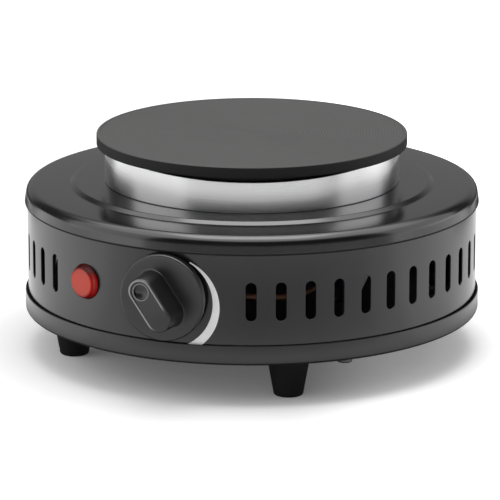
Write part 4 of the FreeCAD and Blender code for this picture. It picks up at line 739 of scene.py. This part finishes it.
rows += [grip_row(GRIP_TOP - GRIP_ROUND + GRIP_ROUND * math.cos(q),
                  GRIP_FRONT - GRIP_ROUND + GRIP_ROUND * math.sin(q)) for q in quarter]
lip_rows = slice(len(rows) - 2, len(rows) + 1)
rows += [grip_row(FACE_RADIUS, GRIP_FRONT), sloped(grip_row(FACE_RADIUS - LIP_EDGE, 0))]
ring_foot = sloped(round_row(RING, 0, POINTER, FACE_RADIUS))
rows += [sloped(row) for row in between(rows[-1], ring_foot, 5)] + [ring_foot]
ring_profile = [(RING - 0.12, 0.26), (RING - 0.75, 0.26), (RING - 0.9, 0.05), (RING - 1.05, -1.2),
                (RING - 1.3, -1.4), (0, -1.5)]
ring_rows = slice(len(rows), len(rows) + 2)
rows += [sloped(round_row(radius, 0, POINTER, FACE_RADIUS), rise) for radius, rise in ring_profile]
knob_rows = np.stack(rows)
# A painted highlight, lighter grey, on the lip round the grip's end, fading down the grip and ending sooner
# on one side, and on the ring round the pointer.
lip_highlight = np.zeros(knob_rows.shape[:2])
lip_highlight_start = np.where(grip_across < 0, LIP_HIGHLIGHT_LEFT, LIP_HIGHLIGHT_RIGHT)
lip_highlight[lip_rows] = np.clip((knob_rows[lip_rows, :, 1] + lip_highlight_start) / LIP_HIGHLIGHT_FADE, 0, 1)
lip_highlight[ring_rows] = RING_HIGHLIGHT
make_piece("knob_moulded", facing_out(knob_rows, 0, CONTROL_LEVEL, KNOB_BEARING),
           grid_faces(len(rows), POINTS), knob_black, ["knob"], body="control", sharp=42,
           share=lip_highlight)

# %% [markdown]
# ## The lamp lens and the cord gland
# Both are small turned mouldings that sit in a hole of the wall and face outwards. The lens is a low red
# cap with a broad slanted side. Its share, the number that the finish mixes by, is zero on the side and 0.8
# on the flat face, so the side is deep red and the face is pale. It rises further on a stretch of the
# face's edge, a painted reflection, and on a short streak of the side, a painted highlight, where the red
# turns paler still. The gland has a flange on both sides of the wall and a bore for the cord.

# %% Lamp lens
SMALL_COLUMNS = 128
LENS_SEAT, LENS_FACE, LENS_DOME = 112.32, 115.42, 0.08
LENS_EDGE, LENS_FOOT, LENS_NECK, LENS_BORE, LENS_END = 7.4, 8.9, 5.9, 4.6, 98.4
LENS_WALL, FRONT_DEPTH, FACE_END, FACE_FADE = 1.6, 0.6, 7.2, 0.8
EDGE_REFLECTION_GAIN, REFLECTION_BEARING, REFLECTION_REACH = 0.3, (205, 55), (7.0, 0.45)
STREAK_HIGHLIGHT_GAIN, HIGHLIGHT_BEARING, HIGHLIGHT_REACH = 0.92, (190, 30), (8.05, 0.2)


def turned_out(profile, azimuth, level):
    """A profile of radius r and distance d carried round an axis that points out of the wall."""
    angle = np.linspace(0, TURN, SMALL_COLUMNS, endpoint=False)
    radius, out = profile[:, :1], profile[:, 1:]
    return facing_out(np.stack([radius * np.cos(angle), radius * np.sin(angle), out + 0 * angle], axis=-1),
                      azimuth, level)


def swell(value, middle, width):
    """A smooth hump, exp(-((value - middle) / width) ** 2): one at the middle, and low beyond the width."""
    return np.exp(-((value - middle) / width) ** 2)


lens_face = [(reach, LENS_FACE + LENS_DOME * (1 - (reach / LENS_EDGE) ** 2), 0) for reach in (0, 5.5, 6.1)]
lens_fall = (LENS_FACE - LENS_SEAT) / (LENS_FOOT - LENS_EDGE)
lens_side = [(reach, LENS_FACE - (reach - LENS_EDGE) * lens_fall, 0) for reach in (7.8, 8.05, 8.3)]
lens_section = rounded([
    *lens_face, (LENS_EDGE, LENS_FACE, 0.5), *lens_side, (LENS_FOOT, LENS_SEAT, 0.2),
    (LENS_NECK, LENS_SEAT, 0.1), (LENS_NECK, LENS_END, 0.2), (LENS_BORE, LENS_END, 0.2),
    (LENS_BORE, LENS_FACE - LENS_WALL, 0.3), (0, LENS_FACE - LENS_WALL, 0)])
lens_angle = np.linspace(0, 360, SMALL_COLUMNS, endpoint=False)[None]
lens_reach, lens_out = lens_section[:, :1], lens_section[:, 1:]
on_front = lens_out > LENS_FACE - FRONT_DEPTH
on_side = ~on_front & (lens_out > LENS_SEAT)
face_share = on_front * PALE_START * np.clip((FACE_END - lens_reach) / FACE_FADE, 0, 1)
# A painted reflection on a stretch of the face's edge, and a painted highlight on a streak of the side.
reflection_share = on_front * swell(lens_angle, *REFLECTION_BEARING) * swell(lens_reach, *REFLECTION_REACH)
highlight_share = on_side * swell((lens_angle + 180) % 360, *HIGHLIGHT_BEARING) * swell(lens_reach, *HIGHLIGHT_REACH)
lens_share = np.clip(np.maximum(face_share + EDGE_REFLECTION_GAIN * reflection_share, STREAK_HIGHLIGHT_GAIN * highlight_share), 0, 1)
make_piece("lens_cap", turned_out(lens_section, LAMP_AZIMUTH, CONTROL_LEVEL),
           grid_faces(len(lens_section), SMALL_COLUMNS), lens_red, ["lamp_lens"],
           share=lens_share)

# %% Cord gland
CORD_BORE, GLAND_NECK, GLAND_FLANGE, BARB, BARB_END = 3.6, 7.4, 10.0, 9.0, 8.4
FLANGE_THICK, BARB_LENGTH = 3.1, 4.2
gland_low, gland_high = span("cord_gland")
gland_out, gland_in = gland_high[1], gland_low[1]
flange_in, barb_out = gland_out - FLANGE_THICK, gland_in + BARB_LENGTH
gland_section = rounded([
    (CORD_BORE, gland_out, 0.5), (GLAND_FLANGE, gland_out, 1.2), (GLAND_FLANGE, flange_in, 0.2),
    (GLAND_NECK, flange_in, 0.1), (GLAND_NECK, barb_out, 0.1), (BARB, barb_out, 0.4),
    (BARB_END, gland_in, 0.6), (CORD_BORE, gland_in, 0.5)])
make_piece("gland_moulded", turned_out(gland_section, 180, GLAND_LEVEL),
           grid_faces(len(gland_section), SMALL_COLUMNS, True), gland_black, ["cord_gland"])

# %% [markdown]
# ## The printed power mark
# A pale crescent is printed on the wall round the knob. It starts as a thin tip above the knob and widens
# clockwise, to show that turning clockwise gives more heat. It lies between two circles whose centres
# differ a little. For each bearing, the outer circle's distance from the inner circle's centre comes from
# the quadratic formula. The mark is a film a few hundredths of a millimetre thick, wrapped on the wall.

# %% Power mark
MARK_RIGHT, MARK_LEVEL, MARK_RADIUS = 0.5, 51.07, 22.9
OUTER_RIGHT, OUTER_UP, OUTER_RADIUS = 2.1, -1.89, 24.1
MARK_START, MARK_END, MARK_POINTS = 60, -72, 120
FILM_UNDER, FILM_TOP, TIP_WIDTH = 0.02, 0.06, 0.02
bearing = np.radians(np.linspace(MARK_START, MARK_END, MARK_POINTS))
toward = OUTER_RIGHT * np.cos(bearing) + OUTER_UP * np.sin(bearing)
outer = toward + np.sqrt(toward ** 2 - OUTER_RIGHT ** 2 - OUTER_UP ** 2 + OUTER_RADIUS ** 2)
outer = np.maximum(outer, MARK_RADIUS + TIP_WIDTH)
inner = 0 * outer + MARK_RADIUS
film = [(inner, FILM_UNDER), (inner, FILM_TOP), (outer, FILM_TOP), (outer, FILM_UNDER)]
mark = np.stack([np.stack([MARK_RIGHT + reach * np.cos(bearing), MARK_LEVEL + reach * np.sin(bearing),
                           0 * reach - out], axis=-1) for reach, out in film], axis=1)
mark_points, _ = wrap(mark, mark)
tip = np.arange(len(film))[None]
mark_faces = np.concatenate([grid_faces(MARK_POINTS, len(film)), tip, tip + len(film) * (MARK_POINTS - 1)])
make_piece("power_mark", mark_points, mark_faces, mark_grey)

# %% [markdown]
# ## The inner pieces
# The heating coils, the thermostat, the wiring and the fasteners keep their construction meshes, because
# only glimpses of them show through the slots and vents. Each still gets the finish of its real material.

# %% Dress the construction nodes
finish_of_slot = {
    "black_paint": satin_black, "zinc_steel": zinc_plate, "spring_steel": blued_steel,
    "shield_sheet": bright_sheet, "brass": plain_brass, "contact_silver": silver_face,
    "bimetal": rolled_strip, "ceramic": bare_ceramic, "coil_wire": dull_wire, "brown_sleeve": brown_sleeving,
    "blue_sleeve": blue_sleeving, "earth_sleeve": green_sleeving, "lamp_plastic": cream_plastic,
    "bulb_glass": clear_bulb, "cast_iron": turned_iron, "bright_steel": polished_band,
    "foot_rubber": foot_rubber, "knob_plastic": knob_black, "red_lens": lens_red,
    "gland_plastic": gland_black}
for node in nodes.values():
    for place in node.material_slots:
        place.material = finish_of_slot[place.material.name.split(".")[0]]
print(len(nodes), "construction nodes dressed")

# %% [markdown]
# ## Camera, lamps, world and floor
# The photograph is a studio shot on white: broad soft light from above and from both sides, and a long lens
# some way off. The lamps stay at a plain level, and the white round the burner comes from the world and the
# floor, as the camera sees them. All of this is placed in metres.

# %% Camera
CAMERA_AZIMUTH, CAMERA_AWAY, CAMERA_HEIGHT, CAMERA_PITCH = 21.5, 1.94439, 0.55807, 14.678
swing = math.radians(CAMERA_AZIMUTH)
camera_data = bpy.data.cameras.new("camera")
camera_data.lens, camera_data.sensor_width, camera_data.shift_x = 288.0, 36.0, -0.0038
camera = bpy.data.objects.new("camera", camera_data)
camera.location = (CAMERA_AWAY * math.sin(swing), -CAMERA_AWAY * math.cos(swing), CAMERA_HEIGHT)
camera.rotation_euler = (math.radians(90 - CAMERA_PITCH), 0, swing)
bpy.context.scene.collection.objects.link(camera)
bpy.context.scene.camera = camera
print("camera", round(CAMERA_AWAY, 2), "m off, lens", camera_data.lens, "mm")

# %% Lamps
AIM_HEIGHT = 0.06


def soft_lamp(name, azimuth, away, height, size, power):
    """A square area lamp at an azimuth, aimed at the middle of the burner."""
    data = bpy.data.lights.new(name, "AREA")
    data.size, data.energy = size, power
    lamp = bpy.data.objects.new(name, data)
    turn = math.radians(azimuth)
    lamp.location = (away * math.sin(turn), -away * math.cos(turn), height)
    aim = lamp.location.copy()
    aim.z -= AIM_HEIGHT
    lamp.rotation_euler = aim.to_track_quat("Z", "Y").to_euler()
    bpy.context.scene.collection.objects.link(lamp)


soft_lamp("overhead", CAMERA_AZIMUTH, away=0.05, height=1.5, size=1.0, power=7.5)
soft_lamp("left_bank", -55, away=1.3, height=0.55, size=1.3, power=5.0)
soft_lamp("right_bank", 116, away=1.3, height=0.58, size=1.3, power=5.0)
print(len(bpy.data.lights), "lamps")

# %% [markdown]
# The world is white to the camera and to rays that pass through glass. Reflected rays see a room in its
# place: bright overhead, grey at the sides, and dark low down towards the camera and beside the backdrop,
# which gives the satin black its shape. Its greys are fitted to the photograph, so this isn't a plain white
# studio. The soft light of the world comes mostly from the upper left.

# %% World
WHITE = (1, 1, 1, 1)
FLOOD_WAY = (-0.75, -0.43, 0.5)


def grey_ramp(tree, value, stops):
    """A soft ramp of greys over a value, with stops (position, level) in rising order."""
    return ramp_of(tree, value, [(position, (level,) * 3) for position, level in stops], "EASE")


def agreement(tree, way, direction):
    """How well a ray's way agrees with a direction: zero for the opposite one, one for the same."""
    product = add_node(tree, "VectorMath", {"operation": "DOT_PRODUCT"}, i0=way, i1=direction)
    return mapped(tree, product.outputs["Value"], -1.0, 1.0)


world = bpy.data.worlds.new("studio")
bpy.context.scene.world = world
world.use_nodes = True
sky = world.node_tree
ray = add_node(sky, "LightPath").outputs
way = add_node(sky, "TexCoord").outputs["Generated"]
rise = add_node(sky, "SeparateXYZ", Vector=way).outputs["Z"]
around = grey_ramp(sky, agreement(sky, way, (math.sin(swing), -math.cos(swing), 0)), [
    (0.05, 1.0), (0.13, 0.15), (0.26, 0.15), (0.4, 0.45), (0.62, 0.45), (0.8, 0.04)])
shade = mixed(sky, grey_ramp(sky, rise, [(0.5, 0.0), (0.78, 1.0)]), around, WHITE)
ceiling = grey_ramp(sky, rise, [(0.0, 0.30), (0.45, 0.33), (0.62, 0.6), (0.8, 1.8)])
room = mixed(sky, 1.0, ceiling, shade, "MULTIPLY")
flood = grey_ramp(sky, agreement(sky, way, FLOOD_WAY), [(0.2, 0.08), (0.5, 0.3), (0.75, 0.72), (1.0, 1.0)])
grey = mixed(sky, ray["Is Glossy Ray"], flood, room)
clear = reckon(sky, "MAXIMUM", ray["Is Camera Ray"], ray["Is Transmission Ray"])
sky.links.new(mixed(sky, clear, grey, WHITE), sky.nodes["Background"].inputs["Color"])
print("the world has", len(sky.nodes), "nodes")

# %% [markdown]
# The floor is white, but reflected rays see greys that depend on the bearing and the distance from the
# burner: an arc of darker floor towards the camera, which the wall mirrors, and two dim stretches behind the
# burner, which the collar's two ends mirror. They are fitted to the photograph and laid out about the
# direction that it was taken from. Nothing shows that the real floor looked like that, and over plain white
# the black paint would look lighter. For the camera the finish lifts the floor a little, more on the right,
# so that the shadow stays soft and the distance stays white.

# %% Floor
FLOOR_HALF = 8.0
floor_corners = [(x * FLOOR_HALF, y * FLOOR_HALF, 0) for x, y in ((-1, -1), (1, -1), (1, 1), (-1, 1))]
floor_mesh = bpy.data.meshes.new("floor")
floor_mesh.from_pydata(floor_corners, [], [(0, 1, 2, 3)])
floor_white = finish("floor_white", grain, {"Scale": 4, "Patches": 1}, (0.93, 0.93, 0.93), (0.96, 0.96, 0.96),
                     (0.85, 0.95), 0.0, Specular_IOR_Level=0.0)
floor_mesh.materials.append(floor_white)
studio_floor = bpy.data.objects.new("studio_floor", floor_mesh)
bpy.context.scene.collection.objects.link(studio_floor)
print("floor", 2 * FLOOR_HALF, "m wide")

# %% What reflections see of the floor
# These greys are painted reflections: a darker arc towards the camera, a painted shadow near the burner, and
# two dim stretches behind it.
tree = floor_white.node_tree
place = object_places(tree)
turned_place = add_node(tree, "VectorRotate", {"rotation_type": "Z_AXIS"}, Vector=place, Angle=-swing)
parts = add_node(tree, "SeparateXYZ", Vector=turned_place.outputs[0]).outputs
bearing = reckon(tree, "ARCTAN2", parts["X"], reckon(tree, "MULTIPLY", parts["Y"], -1.0))
signed = mapped(tree, bearing, -math.pi, math.pi)
aside = reckon(tree, "DIVIDE", reckon(tree, "ABSOLUTE", bearing), math.pi)
distance = add_node(tree, "VectorMath", {"operation": "LENGTH"}, i0=place).outputs["Value"]
arc = grey_ramp(tree, aside, [
    (0.0, 0.36), (0.12, 0.41), (0.25, 0.53), (0.32, 0.75), (0.40, 1.05), (0.52, 1.15)])
beyond = grey_ramp(tree, aside, [
    (0.0, 1.35), (0.25, 1.25), (0.36, 0.7), (0.48, 0.62), (0.60, 1.1), (0.72, 1.4)])
near = grey_ramp(tree, distance, [(0.19, 0.68), (0.26, 1.0), (0.465, 1.0), (0.485, 0.0)])
under = grey_ramp(tree, distance, [(0.12, 0.08), (0.19, 1.0)])
bright = mixed(tree, 1.0, mixed(tree, near, beyond, arc), under, "MULTIPLY")
behind = grey_ramp(tree, signed, [
    (0.05, 0.3), (0.085, 0.95), (0.128, 0.95), (0.18, 0.0), (0.7825, 0.0), (0.84, 0.97), (0.915, 0.97),
    (0.95, 0.3)])
far = grey_ramp(tree, distance, [(0.33, 0.0), (0.37, 1.0), (0.445, 1.0), (0.475, 0.0)])
back = grey_ramp(tree, signed, [(0.125, 0.95), (0.165, 0.0), (0.835, 0.0), (0.875, 0.95)])
farthest = grey_ramp(tree, distance, [(0.49, 0.0), (0.52, 1.0)])
dim = reckon(tree, "MAXIMUM", reckon(tree, "MULTIPLY", behind, far), reckon(tree, "MULTIPLY", back, farthest))
mirrored = mixed(tree, dim, bright, (0.03, 0.03, 0.03, 1))
glow = add_node(tree, "Emission", Color=mirrored, Strength=1.0)
print("reflections read", len(tree.nodes), "nodes")

# %% What the camera sees of the floor
LIFT_HALF = 0.15
rays = add_node(tree, "LightPath").outputs
# Painted light for the camera only: it lightens the floor's shadow, the more so on the right.
pale = grey_ramp(tree, distance, [(0.102, 0.12), (0.124, 0.28), (0.16, 0.43), (0.7, 0.6)])
across = mapped(tree, parts["X"], -LIFT_HALF, LIFT_HALF)
sideways = grey_ramp(tree, across, [(0.3, 0.5), (0.55, 0.6), (0.75, 1.75)])
lift_colour = mixed(tree, 1.0, pale, sideways, "MULTIPLY")
lift = add_node(tree, "Emission", Color=lift_colour, Strength=rays["Is Camera Ray"])
plain = tree.nodes["Principled BSDF"].outputs[0]
lifted = add_node(tree, "AddShader", i0=plain, i1=lift.outputs[0])
split = add_node(tree, "MixShader", i0=rays["Is Glossy Ray"], i1=lifted.outputs[0], i2=glow.outputs[0])
tree.links.new(split.outputs[0], tree.nodes["Material Output"].inputs["Surface"])
print("the floor's finish has", len(tree.nodes), "nodes")

# %% [markdown]
# ## The view transform
# The render uses the Standard view transform.

# %% Set the view transform
bpy.context.scene.view_settings.view_transform = "Standard"
